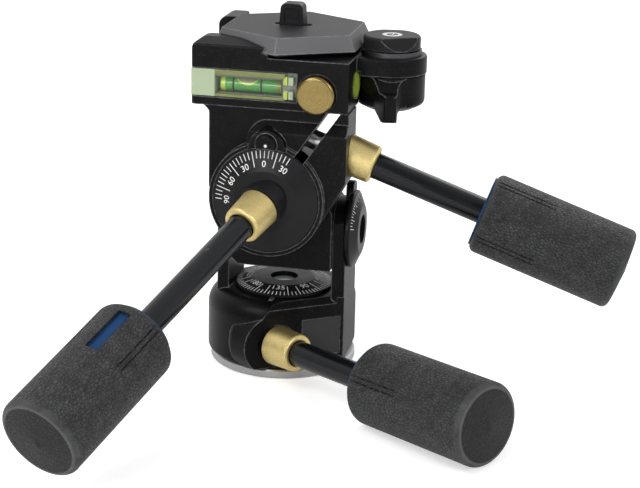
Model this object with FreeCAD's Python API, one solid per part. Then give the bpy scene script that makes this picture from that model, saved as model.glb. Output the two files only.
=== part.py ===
"""Three way pan tilt head for a camera tripod, millimetres.

The origin is the centre of the base plate's underside. +Z is up along the pan axis,
+X is to the right of the person who holds the handles, and -Y points to that person.
"""
import FreeCAD, Part
import math
import os

V = FreeCAD.Vector

# --- Clearances -------------------------------------------------------------------
RUNNING = 0.05              # radial, a shaft that turns in its bore
SLIDING = 0.1               # between flat faces that slide on each other
GAP = 0.3                   # between pieces that pass each other

# --- Base -------------------------------------------------------------------------
BASE_RADIUS = 38.3
BASE_THICKNESS = 4.6
BASE_CHAMFER = 0.7
THREAD_RADIUS = 3.97        # minor radius of a 3/8"-16 thread
BUSH_RADIUS = 7.5
BUSH_LENGTH = 11.0
GRUB_RADIUS = 2.5
GRUB_COUNT = 3
GRUB_CIRCLE = 26.0
SPINDLE_RADIUS = 12.0
SPINDLE_TOP = 33.0
FLOOR_WASHER_RADIUS = 30.0
FLOOR_WASHER_THICKNESS = 0.5
NUT_ACROSS_CORNERS = 33.0
NUT_HEIGHT = 6.0
NUT_SEAT = 22.0             # height of the housing's inner seat under the nut

# --- Pan scale --------------------------------------------------------------------
SCALE_RADIUS = 25.7
SCALE_EDGE = 1.2            # height of the scale's upright rim
SCALE_CROWN_RADIUS = 16.0   # where the cone meets the flat middle
SCALE_RISE = 2.4            # height of the cone
SCALE_HUB_RADIUS = 10.0
PAN_LEVEL_RADIUS = 7.3
PAN_LEVEL_DEPTH = 6.0
PAN_LEVEL_SINK = 2.2        # how far the liquid's window sits under the rim
CUP_WALL = 1.0

# --- Pan housing and fork ---------------------------------------------------------
HOUSING_RADIUS = 39.8
HOUSING_TOP = 39.5
HOUSING_SHOULDER = 10.0      # radius of the rounded shoulder
HOUSING_FOOT = 2.0          # radius of the lower edge
HOUSING_POCKET = 19.0       # radius of the pocket for the nut
FACE_AZIMUTH = -55.0        # direction that the flat front face looks to
FACE_DISTANCE = 31.3
FACE_RIM = 3.2              # slope above it, below the top of the housing
FORK_LEFT = -26.0           # inner faces of the two fork arms
FORK_RIGHT = 28.6
ARM_THICKNESS_LEFT = 6.5
ARM_THICKNESS_RIGHT = 6.7
ARM_HALF_DEPTH = 15.8
ARM_CROWN_RADIUS = 17.0
ARM_EDGE = 1.2
PLATE_INSET = 1.0           # depth of the pocket for the blank plate
PLATE_THICKNESS = 0.8
PLATE_LEFT = -2.0           # along the front face, from its middle
PLATE_RIGHT = 19.0
PLATE_LOW = 9.0
PLATE_HIGH = 29.0
INDEX_WIDTH = 1.6
INDEX_LENGTH = 4.0
INDEX_HEIGHT = 0.8
ARM_NOSE_RADIUS = 4.6       # nose over the right cap, which marks its zero
ARM_NOSE_RISE = 21.2        # from the tilt axis up to the nose's own centre
ARM_NOSE_LEFT = 33.0
ARM_NOSE_RIGHT = 36.9

# --- Front tilt: axis along X -----------------------------------------------------
TILT_HEIGHT = 72.8
CROSS_SHAFT_RADIUS = 8.0
ARM_BUSH_WALL = 2.5
BLOCK_HALF_DEPTH = 17.0
BLOCK_DROP = 19.4           # from the tilt axis down to the block's flat underside
BLOCK_RISE = 15.0
BLOCK_BEVEL = 4.5
BLOCK_EDGE = 1.5
HUB_RADIUS = 23.0           # round part of the block about the side axis
LEFT_CAP_RADIUS = 11.7
LEFT_CAP_THICKNESS = 1.8
RIGHT_CAP_RADIUS = 20.2
RIGHT_CAP_LENGTH = 5.6
RIGHT_CAP_EDGE = 2.2
RIGHT_CAP_FACE = 12.6
RIGHT_CAP_RECESS = 7.6
RECESS_DEPTH = 2.4
CAP_SCREW_RADIUS = 4.0
CAP_SCREW_HEAD = 1.8
SOCKET_RADIUS = 2.9

# --- Side tilt: axis along Y ------------------------------------------------------
SIDE_HEIGHT = 97.3
TRUNNION_RADIUS = 17.0
SHANK_RADIUS = 10.0
SIDE_WASHER_RADIUS = 22.0
SIDE_WASHER_THICKNESS = 0.4
REAR_NUT_ACROSS_CORNERS = 27.0
REAR_NUT_HEIGHT = 5.0
REAR_CAP_RADIUS = 21.5
REAR_CAP_DEPTH = 8.0
REAR_CAP_WALL = 2.0
DIAL_RADIUS = 26.65
DIAL_FACE_RADIUS = 15.6
DIAL_RIM = 2.0
DIAL_RISE = 3.4
DIAL_SCREW_CIRCLE = 13.3
DIAL_SCREW_RADIUS = 1.6
DIAL_SCREW_LENGTH = 12.0
DIAL_BOSS_RADIUS = 11.0

# --- Upper casting ----------------------------------------------------------------
CASTING_BACK = -17.5
CASTING_FRONT = -42.0
PLATE_STEP = 6.0            # depth of the front plate before the neck begins
RIM_RADIUS = 29.2
RIM_HEIGHT = 2.2
RIM_WALL = 2.4
EAR_RIGHT = 39.5
EAR_RISE = 10.7             # from the side axis up to the ear's lower corner
CROWN_RISE = 39.1           # from the side axis up to the front plate's upper edge
PLATE_START = -10.8
PLATE_CORNER = 9.5
CROWN_BEVEL = 5.0           # height of the slope along the front plate's upper edge
NECK_LEFT = -31.5
NECK_RISE = 0.7
NECK_FLARE = 3.0            # widening just under the platform
NECK_RELIEF_DEPTH = 6.6
NECK_RELIEF_WIDTH = 11.0
CASTING_EDGE = 2.0
SLIT_WIDTH = 5.4
SLIT_TOP_X = 32.0           # where the slit's middle line leaves the top
SLIT_LEAN = 34.0            # degrees from upright
NOSE_RADIUS = 4.8
NOSE_X = 0.5
NOSE_RISE = 28.8
NOSE_FRONT = -48.2
NOSE_STEP = 2.4
NOSE_BACKING_RADIUS = 9.5
NOSE_BACKING_DROP = 2.6     # from the nose's centre down to its backing's
DOT_RADIUS = 0.7
DOT_DEPTH = 0.6

# --- Platform ---------------------------------------------------------------------
PLATFORM_RISE = 44.7        # from the side axis up to the platform's underside
PLATFORM_HEIGHT = 25.3
JAW_HEIGHT = 5.1            # above the platform
PLATFORM_FRONT = -37.0
PLATFORM_BACK = 35.0
PLATFORM_LEFT = -40.9
PLATFORM_RIGHT = 38.9
PLATFORM_CORNER = 6.0
JAW_END = -1.6
JAW_RISE = 2.4              # from the jaw's front edge up to its ridge
JAW_RIDGE = 9.5             # from the jaw's front face back to its ridge
JAW_DEPTH = 17.0            # front to back
LUG_RIGHT = -29.0           # lug at the platform's rear left corner
LUG_FRONT = 16.0
LUG_BACK = 33.0
LUG_HEIGHT = 9.7            # above the platform
LUG_CORNER = 5.0
LOBE_DROP = 0.9             # from the platform's top down to the lobe's
LOBE_THICKNESS = 8.9
LOBE_RADIUS = 17.9
PIVOT_X = 53.3
HUB_RELIEF = 34.5           # right side of the platform behind the side level
HUB_RELIEF_FRONT = -10.4
WELL_RADIUS = 19.0
WELL_DEPTH = 7.0
PLATFORM_SCREW_RADIUS = 2.5
PLATFORM_SCREW_X = 12.0
PLATFORM_SCREW_Y = -20.5
PLATFORM_SCREW_LENGTH = 16.0

# --- Front level ------------------------------------------------------------------
LEVEL_RIGHT = 13.0
LEVEL_SILL = 4.2            # from the platform's underside up to the block
LEVEL_HEIGHT = 14.3
LEVEL_DEPTH = 12.0
LEVEL_EDGE = 0.8
TUBE_RADIUS = 3.7
TUBE_LEFT = -26.0
TUBE_RIGHT = 4.8
TUBE_AXIS_DROP = 0.8
BUBBLE_HALF_LENGTH = 6.3
BUBBLE_RADIUS = 4.5
BUBBLE_X = -12.5

# --- Side level -------------------------------------------------------------------
SIDE_LEVEL_Y = -18.4
SIDE_LEVEL_RISE = 11.0      # from the platform's underside
SIDE_LEVEL_RADIUS = 6.9
SIDE_LEVEL_PROUD = 0.9
SIDE_LEVEL_DEPTH = 4.0

# --- Safety button ----------------------------------------------------------------
BUTTON_X = 23.2
BUTTON_RISE = 9.0           # from the platform's underside
BUTTON_RADIUS = 9.5
BUTTON_PROUD = 4.2
BUTTON_CROWN = 1.4
BUTTON_TRAVEL = 2.5
STEM_RADIUS = 3.0
STEM_LENGTH = 20.0
SPRING_WIRE = 0.8

# --- Camera plate -----------------------------------------------------------------
PLATE_X = 2.5
PLATE_Y = 0.9
PLATE_TOP_RADIUS = 37.6
PLATE_FOOT_RADIUS = 41.6
PLATE_SEAT_RADIUS = 35.0    # the underside, narrower than the plate's widest line
PLATE_HEIGHT = 10.3
PLATE_LIP = 2.5
SLOT_LEFT = -8.0
SLOT_RIGHT = 12.0
SLOT_WIDTH = 6.9
SLOT_Y = 2.0
PLATE_HOLLOW_RADIUS = 15.5
PLATE_FLOOR = 4.0           # thickness of the plate above its hollow
SCREW_RADIUS = 3.1          # core of a 1/4"-20 camera screw
SCREW_HEAD_RADIUS = 6.5
SCREW_HEAD_HEIGHT = 2.4
SCREW_PROUD = 6.0
SCREW_X = 1.9
GUIDE_THICKNESS = 0.6
CAP_WIDTH = 12.6
CAP_DEPTH = 8.6
CAP_HEIGHT = 10.8
CAP_CORNER = 2.6
CAP_WINDOW = 7.6

# --- Quick-release lever ----------------------------------------------------------
LEVER_HUB_RADIUS = 17.4
LEVER_PLAY = 0.4            # between the lobe and the lever under it
LEVER_HEIGHT = 18.1
TIP_AZIMUTH = -79.5
TIP_REACH = 28.4
TIP_WIDTH = 6.0
TIP_LOW = 20.2              # from the lever's top down to the finger's underside
TIP_HIGH = 6.3              # from the lever's top down to the finger's top
LEVER_NECK = 11.5
LEVER_CHAMFER = 3.0
WEDGE_LEFT = 25.5           # degrees from the finger's direction to its roots on the hub
WEDGE_RIGHT = 12.2
WEDGE_OUT_LEFT = 1.4        # how far the roots' corners stand off the hub
WEDGE_OUT_RIGHT = 0.5
WEDGE_FILLET = 5.0
CAM_RADIUS = 14.4
CAM_LIFT = 2.8              # from the lobe's top up to the knob
CAM_WASHER_RADIUS = 15.2
CAM_HEIGHT = 6.7
CAM_RELIEF = 12.2
CAM_RELIEF_AZIMUTH = 100.0
CAM_FACET_AZIMUTH = -60.0
CAM_FACET_TILT = 35.0
PIVOT_RADIUS = 4.0
PIVOT_HEAD_RADIUS = 5.0
PIVOT_HEAD_DEPTH = 1.6

# --- Handles ----------------------------------------------------------------------
FERRULE_FOOT_RADIUS = 10.25
FERRULE_TIP_RADIUS = 9.6
FERRULE_LENGTH = 17.5
FERRULE_BEVEL = 1.8
FERRULE_MOUTH = 7.0
ROD_RADIUS = 6.6
ROD_START = 3.0             # the rod's end inside the ferrule
STUD_RADIUS = 5.0
GRIP_RADIUS = 20.5
GRIP_LENGTH = 75.4
GRIP_DOME = 2.0
GRIP_FAR_EDGE = 3.0
GRIP_NEAR_EDGE = 3.4
CORE_RADIUS = 9.0
CORE_FLANGE_RADIUS = 17.7
CORE_FLANGE = 0.9
CORE_END = 8.0              # rubber left beyond the core and the rod
GROOVE_COUNT = 4
GROOVE_LENGTH = 32.0
GROOVE_WIDTH = 0.9
GROOVE_SPACING = 2.6        # between the two cuts of one groove
GROOVE_DEPTH = 0.8
WINDOW_START = 6.0
WINDOW_LENGTH = 26.0
WINDOW_WIDTH = 6.6
WINDOW_FLOOR = 18.6         # radius of the coloured pad in the window
PAD_MARGIN = 1.5
PIN_RADIUS = 1.3
PIN_DISTANCE = 46.0
PIN_TURN = 8.0              # about the rod, from the window's own direction
PINNED_LENGTH = 80.0        # only a rod barer than this carries a pin


# --- Where the handles stand, and their own lengths --------------------------------
PAN_FOOT_X = 4.3            # ferrule feet
PAN_FOOT_Y = -34.9
PAN_FOOT_HEIGHT = 17.5
SIDE_FOOT_X = 34.7
SIDE_FOOT_Y = -24.0
SIDE_FOOT_RISE = 22.6       # above the side axis
FRONT_FOOT_X = -1.2
FRONT_FOOT_OUT = 3.5        # in front of the dial's face
FRONT_FOOT_DROP = 1.4       # below the side axis
PAN_ROD = 55.1              # bare rod between ferrule and grip
SIDE_ROD = 58.3
FRONT_ROD = 89.6
PAN_STUD = 28.0
SIDE_STUD = 36.0
FRONT_STUD = 22.0

# --- Worked out from the above ----------------------------------------------------
HOUSING_BOTTOM = BASE_THICKNESS + FLOOR_WASHER_THICKNESS + SLIDING
NUT_LOW = NUT_SEAT + SLIDING
SCALE_LOW = HOUSING_TOP + GAP
SCALE_TOP = SCALE_LOW + SCALE_EDGE + SCALE_RISE
EAR_LOW = SIDE_HEIGHT + EAR_RISE
PLATE_CROWN = SIDE_HEIGHT + CROWN_RISE
NECK_LOW = SIDE_HEIGHT + NECK_RISE
NOSE_Z = SIDE_HEIGHT + NOSE_RISE
PLATFORM_BOTTOM = SIDE_HEIGHT + PLATFORM_RISE
PLATFORM_TOP = PLATFORM_BOTTOM + PLATFORM_HEIGHT
JAW_TOP = PLATFORM_TOP + JAW_HEIGHT
LUG_TOP = PLATFORM_TOP + LUG_HEIGHT
LOBE_TOP = PLATFORM_TOP - LOBE_DROP
LOBE_BOTTOM = LOBE_TOP - LOBE_THICKNESS
LEVEL_LOW = PLATFORM_BOTTOM + LEVEL_SILL
LEVEL_HIGH = LEVEL_LOW + LEVEL_HEIGHT
SIDE_LEVEL_Z = PLATFORM_BOTTOM + SIDE_LEVEL_RISE
BUTTON_Z = PLATFORM_BOTTOM + BUTTON_RISE
PLATE_TOP = PLATFORM_TOP + PLATE_HEIGHT
LEVER_TOP = LOBE_BOTTOM - LEVER_PLAY
LEVER_BOTTOM = LEVER_TOP - LEVER_HEIGHT
TIP_BOTTOM = LEVER_TOP - TIP_LOW
TIP_TOP = LEVER_TOP - TIP_HIGH
CAM_BOTTOM = LOBE_TOP + CAM_LIFT
CAM_TOP = CAM_BOTTOM + CAM_HEIGHT
DIAL_BACK = CASTING_FRONT - GAP
DIAL_FACE = DIAL_BACK - DIAL_RIM - DIAL_RISE

# Each handle: foot of the ferrule, direction (azimuth and rise in degrees), the bare
# rod's length between ferrule and grip, the stud's length and the window's roll angle.
HANDLES = {
    "pan": (V(PAN_FOOT_X, PAN_FOOT_Y, PAN_FOOT_HEIGHT), -35.0, 1.6, PAN_ROD, PAN_STUD, 201.0),
    "side": (V(SIDE_FOOT_X, SIDE_FOOT_Y, SIDE_HEIGHT + SIDE_FOOT_RISE), 0.0, -19.2,
             SIDE_ROD, SIDE_STUD, 249.0),
    "front": (V(FRONT_FOOT_X, DIAL_FACE - FRONT_FOOT_OUT, SIDE_HEIGHT - FRONT_FOOT_DROP), -109.4, -20.5,
              FRONT_ROD, FRONT_STUD, -10.0),
}


# --- Small tools ------------------------------------------------------------------
def corner_arc(before, corner, after, radius):
    """Start, middle and end of the arc that rounds one corner of an outline."""
    to_before = (before - corner).normalize()
    to_after = (after - corner).normalize()
    half = to_before.getAngle(to_after) / 2
    reach = radius / math.tan(half)
    middle_way = (to_before + to_after).normalize()
    centre = corner + middle_way * (radius / math.sin(half))
    start = corner + to_before * reach
    end = corner + to_after * reach
    return start, centre - middle_way * radius, end


def outline(points):
    """Closed face in the XY plane from (x, y) or (x, y, corner radius) points."""
    corners = [V(p[0], p[1], 0) for p in points]
    radii = [p[2] if len(p) > 2 else 0 for p in points]
    stops = []
    for i, corner in enumerate(corners):
        if radii[i] > 0:
            stops.append(corner_arc(corners[i - 1], corner, corners[(i + 1) % len(corners)], radii[i]))
        else:
            stops.append((corner, None, corner))
    edges = []
    for i, (start, middle, end) in enumerate(stops):
        if middle is not None:
            edges.append(Part.Arc(start, middle, end).toShape())
        following = stops[(i + 1) % len(stops)][0]
        if end.distanceToPoint(following) > 1e-6:
            edges.append(Part.makeLine(end, following))
    return Part.Face(Part.Wire(edges))


def plan(points, low, high):
    """Outline seen from above, from height low to high."""
    part = outline(points).extrude(V(0, 0, high - low))
    part.translate(V(0, 0, low))
    return part


def front(points, near, far):
    """Outline of (x, z) points seen from the front, from y = near to y = far."""
    part = outline(points).extrude(V(0, 0, far - near))
    part.translate(V(0, 0, -far))
    part.rotate(V(0, 0, 0), V(1, 0, 0), 90)
    return part


def side(points, left, right):
    """Outline of (y, z) points seen from the right, from x = left to x = right."""
    part = outline(points).extrude(V(0, 0, right - left))
    part.translate(V(0, 0, left))
    part.rotate(V(0, 0, 0), V(1, 1, 1), 120)
    return part


def turned(points):
    """Solid turned about Z from an outline of (radius, height) points."""
    face = outline(points)
    face.rotate(V(0, 0, 0), V(1, 0, 0), 90)
    return face.revolve(V(0, 0, 0), V(0, 0, 1), 360)


def disc(radius, low, high):
    return Part.makeCylinder(radius, high - low, V(0, 0, low))


def ring(outer, inner, low, high):
    return disc(outer, low, high).cut(disc(inner, low, high))


def rod(radius, start, end):
    """Round bar between two points."""
    return Part.makeCylinder(radius, (end - start).Length, start, end - start)


def block(x0, x1, y0, y1, z0, z1):
    return Part.makeBox(x1 - x0, y1 - y0, z1 - z0, V(x0, y0, z0))


def hexagon(across_corners, low, high, turn=0.0):
    corners = []
    for i in range(6):
        angle = math.radians(turn + 60 * i)
        corners.append((across_corners / 2 * math.cos(angle), across_corners / 2 * math.sin(angle)))
    return plan(corners, low, high)


def hex_frustum(foot_radius, top_radius, low, high):
    """Six-sided frustum with corners on its Y axis, made from two outlines."""
    wires = []
    for radius, height in ((foot_radius, low), (top_radius, high)):
        corners = []
        for i in range(7):
            angle = math.radians(30 + 60 * i)
            corners.append(V(radius * math.cos(angle), radius * math.sin(angle), height))
        wires.append(Part.makePolygon(corners))
    return Part.makeLoft(wires, True, True)


def onto_x(part, x):
    """Turn a piece made about Z so that it lies about X, its zero at x."""
    part.rotate(V(0, 0, 0), V(0, 1, 0), 90)
    part.translate(V(x, 0, TILT_HEIGHT))
    return part


def onto_y(part, y):
    """Turn a piece made about Z so that it lies about the side axis, pointing to -Y."""
    part.rotate(V(0, 0, 0), V(1, 0, 0), 90)
    part.translate(V(0, y, SIDE_HEIGHT))
    return part


def placed(part, origin, direction, up):
    """Carry a piece made about Z to an axis through origin, its X side turned to up."""
    part.Placement = FreeCAD.Placement(origin, FreeCAD.Rotation(up, V(), direction, "ZXY"))
    return part


def unit(azimuth, rise=0.0):
    """Direction from an azimuth and a rise in degrees."""
    a = math.radians(azimuth)
    e = math.radians(rise)
    return V(math.cos(a) * math.cos(e), math.sin(a) * math.cos(e), math.sin(e))


def softened(part, radius, wanted):
    """Round those edges that the test picks."""
    return part.makeFillet(radius, [e for e in part.Edges if wanted(e)])


def lies_at(edge, axis, value):
    """True where a whole edge lies in the plane axis = value."""
    box = edge.BoundBox
    low = (box.XMin, box.YMin, box.ZMin)[axis]
    high = (box.XMax, box.YMax, box.ZMax)[axis]
    return abs(low - value) < 1e-3 and abs(high - value) < 1e-3


# --- Base -------------------------------------------------------------------------
def grub_places():
    return [unit(90 + 360 * i / GRUB_COUNT) * GRUB_CIRCLE for i in range(GRUB_COUNT)]


def base_plate():
    low_edge = (BASE_RADIUS - BASE_CHAMFER, 0)
    part = turned([(BUSH_RADIUS, 0), low_edge, (BASE_RADIUS, BASE_CHAMFER),
                   (BASE_RADIUS, BASE_THICKNESS - BASE_CHAMFER),
                   (BASE_RADIUS - BASE_CHAMFER, BASE_THICKNESS), (BUSH_RADIUS, BASE_THICKNESS)])
    for place in grub_places():
        part = part.cut(Part.makeCylinder(GRUB_RADIUS, BASE_THICKNESS, place))
    return part


def grub_screws():
    screws = []
    for place in grub_places():
        screw = Part.makeCylinder(GRUB_RADIUS, BASE_THICKNESS, place)
        screws.append(screw.cut(Part.makeCylinder(GRUB_RADIUS / 2, BASE_THICKNESS / 2, place)))
    return Part.makeCompound(screws)


def thread_bush():
    return ring(BUSH_RADIUS, THREAD_RADIUS, 0, BUSH_LENGTH)


def pan_spindle():
    part = disc(SPINDLE_RADIUS, BASE_THICKNESS, SPINDLE_TOP)
    return part.cut(disc(BUSH_RADIUS, 0, BUSH_LENGTH))


def floor_washer():
    return ring(FLOOR_WASHER_RADIUS, SPINDLE_RADIUS, BASE_THICKNESS, BASE_THICKNESS + FLOOR_WASHER_THICKNESS)


def spindle_nut():
    nut = hexagon(NUT_ACROSS_CORNERS, NUT_LOW, NUT_LOW + NUT_HEIGHT)
    return nut.cut(disc(SPINDLE_RADIUS, NUT_LOW, SPINDLE_TOP))


def pan_scale():
    level_floor = SCALE_TOP - PAN_LEVEL_DEPTH
    return turned([(0, SPINDLE_TOP), (SCALE_HUB_RADIUS, SPINDLE_TOP), (SCALE_HUB_RADIUS, SCALE_LOW),
                   (SCALE_RADIUS, SCALE_LOW), (SCALE_RADIUS, SCALE_LOW + SCALE_EDGE),
                   (SCALE_CROWN_RADIUS, SCALE_TOP), (PAN_LEVEL_RADIUS, SCALE_TOP),
                   (PAN_LEVEL_RADIUS, level_floor), (0, level_floor)])


def pan_level_cup():
    low = SCALE_TOP - PAN_LEVEL_DEPTH
    high = SCALE_TOP - PAN_LEVEL_SINK
    return ring(PAN_LEVEL_RADIUS, PAN_LEVEL_RADIUS - CUP_WALL, low, high)


def pan_level_vial():
    low = SCALE_TOP - PAN_LEVEL_DEPTH
    high = SCALE_TOP - PAN_LEVEL_SINK
    return disc(PAN_LEVEL_RADIUS - CUP_WALL, low, high)


# --- Pan housing ------------------------------------------------------------------
def handle_direction(name):
    return unit(HANDLES[name][1], HANDLES[name][2])


def handle_point(name, distance):
    """Point on a handle's axis, at a distance outward from the ferrule's foot."""
    return HANDLES[name][0] + handle_direction(name) * distance


def brake_place():
    """Distance along the pan handle's axis at which it passes nearest the spindle."""
    foot = HANDLES["pan"][0]
    way = unit(HANDLES["pan"][1])
    return -(foot.x * way.x + foot.y * way.y)


def housing_drum():
    return turned([(SPINDLE_RADIUS + RUNNING, HOUSING_BOTTOM), (HOUSING_RADIUS, HOUSING_BOTTOM, HOUSING_FOOT),
                   (HOUSING_RADIUS, HOUSING_TOP, HOUSING_SHOULDER), (HOUSING_POCKET, HOUSING_TOP),
                   (HOUSING_POCKET, NUT_SEAT), (SPINDLE_RADIUS + RUNNING, NUT_SEAT)])


BOSS_RADIUS = 16.5
BOSS_REACH = 22.0           # from the ferrule's foot back to the boss's rounded end
BOSS_ROUND = 6.0


def housing_boss():
    """Thick round lobe about the pan handle's screw."""
    length = BOSS_REACH + FERRULE_LENGTH
    lobe = turned([(0, 0), (BOSS_RADIUS, 0, BOSS_ROUND), (BOSS_RADIUS, length), (0, length)])
    lobe = placed(lobe, handle_point("pan", -BOSS_REACH), handle_direction("pan"), V(0, 0, 1))
    pocket = disc(HOUSING_POCKET, HOUSING_BOTTOM, HOUSING_TOP)
    return lobe.cut(pocket).cut(disc(2 * HOUSING_RADIUS, 0, HOUSING_BOTTOM))


def front_face_cutter():
    """Everything in front of the housing's flat face."""
    reach = 2 * HOUSING_RADIUS
    cutter = block(0, reach, -reach, reach, 0, 2 * HOUSING_TOP)
    cutter.translate(V(FACE_DISTANCE, 0, -HOUSING_TOP))
    cutter.rotate(V(0, 0, 0), V(0, 0, 1), FACE_AZIMUTH)
    return cutter


def face_rim_cutter():
    """Slope of 45 degrees above the flat front face."""
    reach = 2 * HOUSING_RADIUS
    cutter = block(0, reach, -reach, reach, -reach, reach)
    cutter.rotate(V(0, 0, 0), V(0, 1, 0), -45)
    cutter.translate(V(FACE_DISTANCE, 0, HOUSING_TOP - FACE_RIM))
    cutter.rotate(V(0, 0, 0), V(0, 0, 1), FACE_AZIMUTH)
    return cutter


def on_front_face(depth, left, right, low, high):
    """Box let into the front face, measured along it from the point nearest the pan axis."""
    part = block(FACE_DISTANCE - depth, FACE_DISTANCE, left, right, low, high)
    part.rotate(V(0, 0, 0), V(0, 0, 1), FACE_AZIMUTH)
    return part


def fork_arm(inner, outer):
    """One fork arm, rounded about the tilt axis."""
    half = math.sqrt(ARM_CROWN_RADIUS ** 2 - ARM_HALF_DEPTH ** 2)
    left = min(inner, outer)
    right = max(inner, outer)
    straight = block(left, right, -ARM_HALF_DEPTH, ARM_HALF_DEPTH, HOUSING_TOP - HOUSING_SHOULDER,
                     TILT_HEIGHT + half)
    crown = rod(ARM_CROWN_RADIUS, V(left, 0, TILT_HEIGHT), V(right, 0, TILT_HEIGHT))
    roof = TILT_HEIGHT + 2 * ARM_CROWN_RADIUS
    slab = block(left, right, -ARM_HALF_DEPTH, ARM_HALF_DEPTH, TILT_HEIGHT, roof)
    arm = straight.fuse(crown.common(slab)).removeSplitter()
    return softened(arm, ARM_EDGE, lambda e: lies_at(e, 0, outer) and e.BoundBox.ZMax > HOUSING_TOP)


def handle_seat(name):
    """Room for a ferrule's foot and the bore for its stud, to be cut from a casting."""
    stud = HANDLES[name][4]
    seat = disc(FERRULE_FOOT_RADIUS + GAP, -RUNNING, 2 * FERRULE_LENGTH)
    bore = disc(STUD_RADIUS + RUNNING, -stud - SLIDING, SLIDING)
    return placed(seat.fuse(bore), HANDLES[name][0], handle_direction(name), V(0, 0, 1))


LEFT_OUTER = FORK_LEFT - ARM_THICKNESS_LEFT
RIGHT_OUTER = FORK_RIGHT + ARM_THICKNESS_RIGHT
ARM_BUSH_RADIUS = CROSS_SHAFT_RADIUS + RUNNING + ARM_BUSH_WALL
BRAKE_RADIUS = 5.0


def brake_shoe_solid(extra):
    """Shoe between the pan handle's stud and the spindle, grown by extra for its bore."""
    inward = handle_point("pan", brake_place())
    level = V(0, 0, inward.z)
    outward = V(inward.x, inward.y, 0).normalize()
    offset = math.hypot(inward.x, inward.y)
    start = level + outward * (SPINDLE_RADIUS - extra + SLIDING)
    end = level + outward * (offset - STUD_RADIUS - SLIDING + 2 * extra)
    return rod(BRAKE_RADIUS + extra, start, end)


def pan_index():
    """Small raised mark on the housing's top, next to the pan scale."""
    start = SCALE_RADIUS + GAP
    part = block(start, start + INDEX_LENGTH, -INDEX_WIDTH / 2, INDEX_WIDTH / 2,
                 HOUSING_TOP - HOUSING_SHOULDER / 2, HOUSING_TOP + INDEX_HEIGHT)
    part.rotate(V(0, 0, 0), V(0, 0, 1), -90)
    return part


def arm_nose():
    """Round-topped nose on the right arm, over the right cap."""
    low = TILT_HEIGHT + ARM_NOSE_RISE / 2
    centre = TILT_HEIGHT + ARM_NOSE_RISE
    stem = block(ARM_NOSE_LEFT, ARM_NOSE_RIGHT, -ARM_NOSE_RADIUS, ARM_NOSE_RADIUS, low, centre)
    nose = stem.fuse(rod(ARM_NOSE_RADIUS, V(ARM_NOSE_LEFT, 0, centre), V(ARM_NOSE_RIGHT, 0, centre)))
    cap_room = rod(RIGHT_CAP_RADIUS + GAP, V(RIGHT_OUTER, 0, TILT_HEIGHT), V(2 * RIGHT_OUTER, 0, TILT_HEIGHT))
    return nose.cut(cap_room).removeSplitter()


def pan_housing():
    part = housing_drum().fuse(housing_boss()).cut(face_rim_cutter())
    part = part.fuse(fork_arm(FORK_LEFT, LEFT_OUTER)).fuse(fork_arm(FORK_RIGHT, RIGHT_OUTER))
    part = part.fuse(arm_nose()).removeSplitter()
    part = part.cut(front_face_cutter().common(disc(3 * HOUSING_RADIUS, 0, HOUSING_TOP)))
    part = part.cut(block(RIGHT_OUTER, 2 * RIGHT_OUTER, -HOUSING_RADIUS, HOUSING_RADIUS, 0, HOUSING_TOP))
    part = part.cut(on_front_face(PLATE_INSET, PLATE_LEFT, PLATE_RIGHT, PLATE_LOW, PLATE_HIGH))
    part = part.cut(handle_seat("pan"))
    part = part.cut(brake_shoe_solid(RUNNING))
    for inner, outer in ((FORK_LEFT, LEFT_OUTER), (FORK_RIGHT, RIGHT_OUTER)):
        bore = rod(ARM_BUSH_RADIUS, V(inner, 0, TILT_HEIGHT), V(outer, 0, TILT_HEIGHT))
        part = part.cut(bore)
    cap_room = rod(LEFT_CAP_RADIUS + GAP, V(LEFT_OUTER, 0, TILT_HEIGHT),
                   V(LEFT_OUTER + LEFT_CAP_THICKNESS + GAP, 0, TILT_HEIGHT))
    return part.cut(cap_room).fuse(pan_index()).removeSplitter()


def pan_brake_shoe():
    shoe = brake_shoe_solid(0)
    return shoe.cut(disc(SPINDLE_RADIUS + SLIDING, 0, HOUSING_TOP))


def blank_plate():
    inset = PLATE_INSET - PLATE_THICKNESS
    part = on_front_face(PLATE_INSET, PLATE_LEFT, PLATE_RIGHT, PLATE_LOW, PLATE_HIGH)
    return part.cut(on_front_face(inset, PLATE_LEFT, PLATE_RIGHT, PLATE_LOW, PLATE_HIGH))


def arm_bush(inner, outer):
    left = V(min(inner, outer), 0, TILT_HEIGHT)
    right = V(max(inner, outer), 0, TILT_HEIGHT)
    return rod(ARM_BUSH_RADIUS, left, right).cut(rod(CROSS_SHAFT_RADIUS + RUNNING, left, right))


# --- Tilt block -------------------------------------------------------------------
BLOCK_LEFT = FORK_LEFT + GAP
BLOCK_RIGHT = FORK_RIGHT - GAP
BLOCK_BOTTOM = TILT_HEIGHT - BLOCK_DROP
SHAFT_LEFT = LEFT_OUTER + LEFT_CAP_THICKNESS
CAP_HOLLOW = RIGHT_CAP_LENGTH - RECESS_DEPTH - CAP_SCREW_HEAD
SHAFT_RIGHT = RIGHT_OUTER + GAP + CAP_HOLLOW


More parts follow.
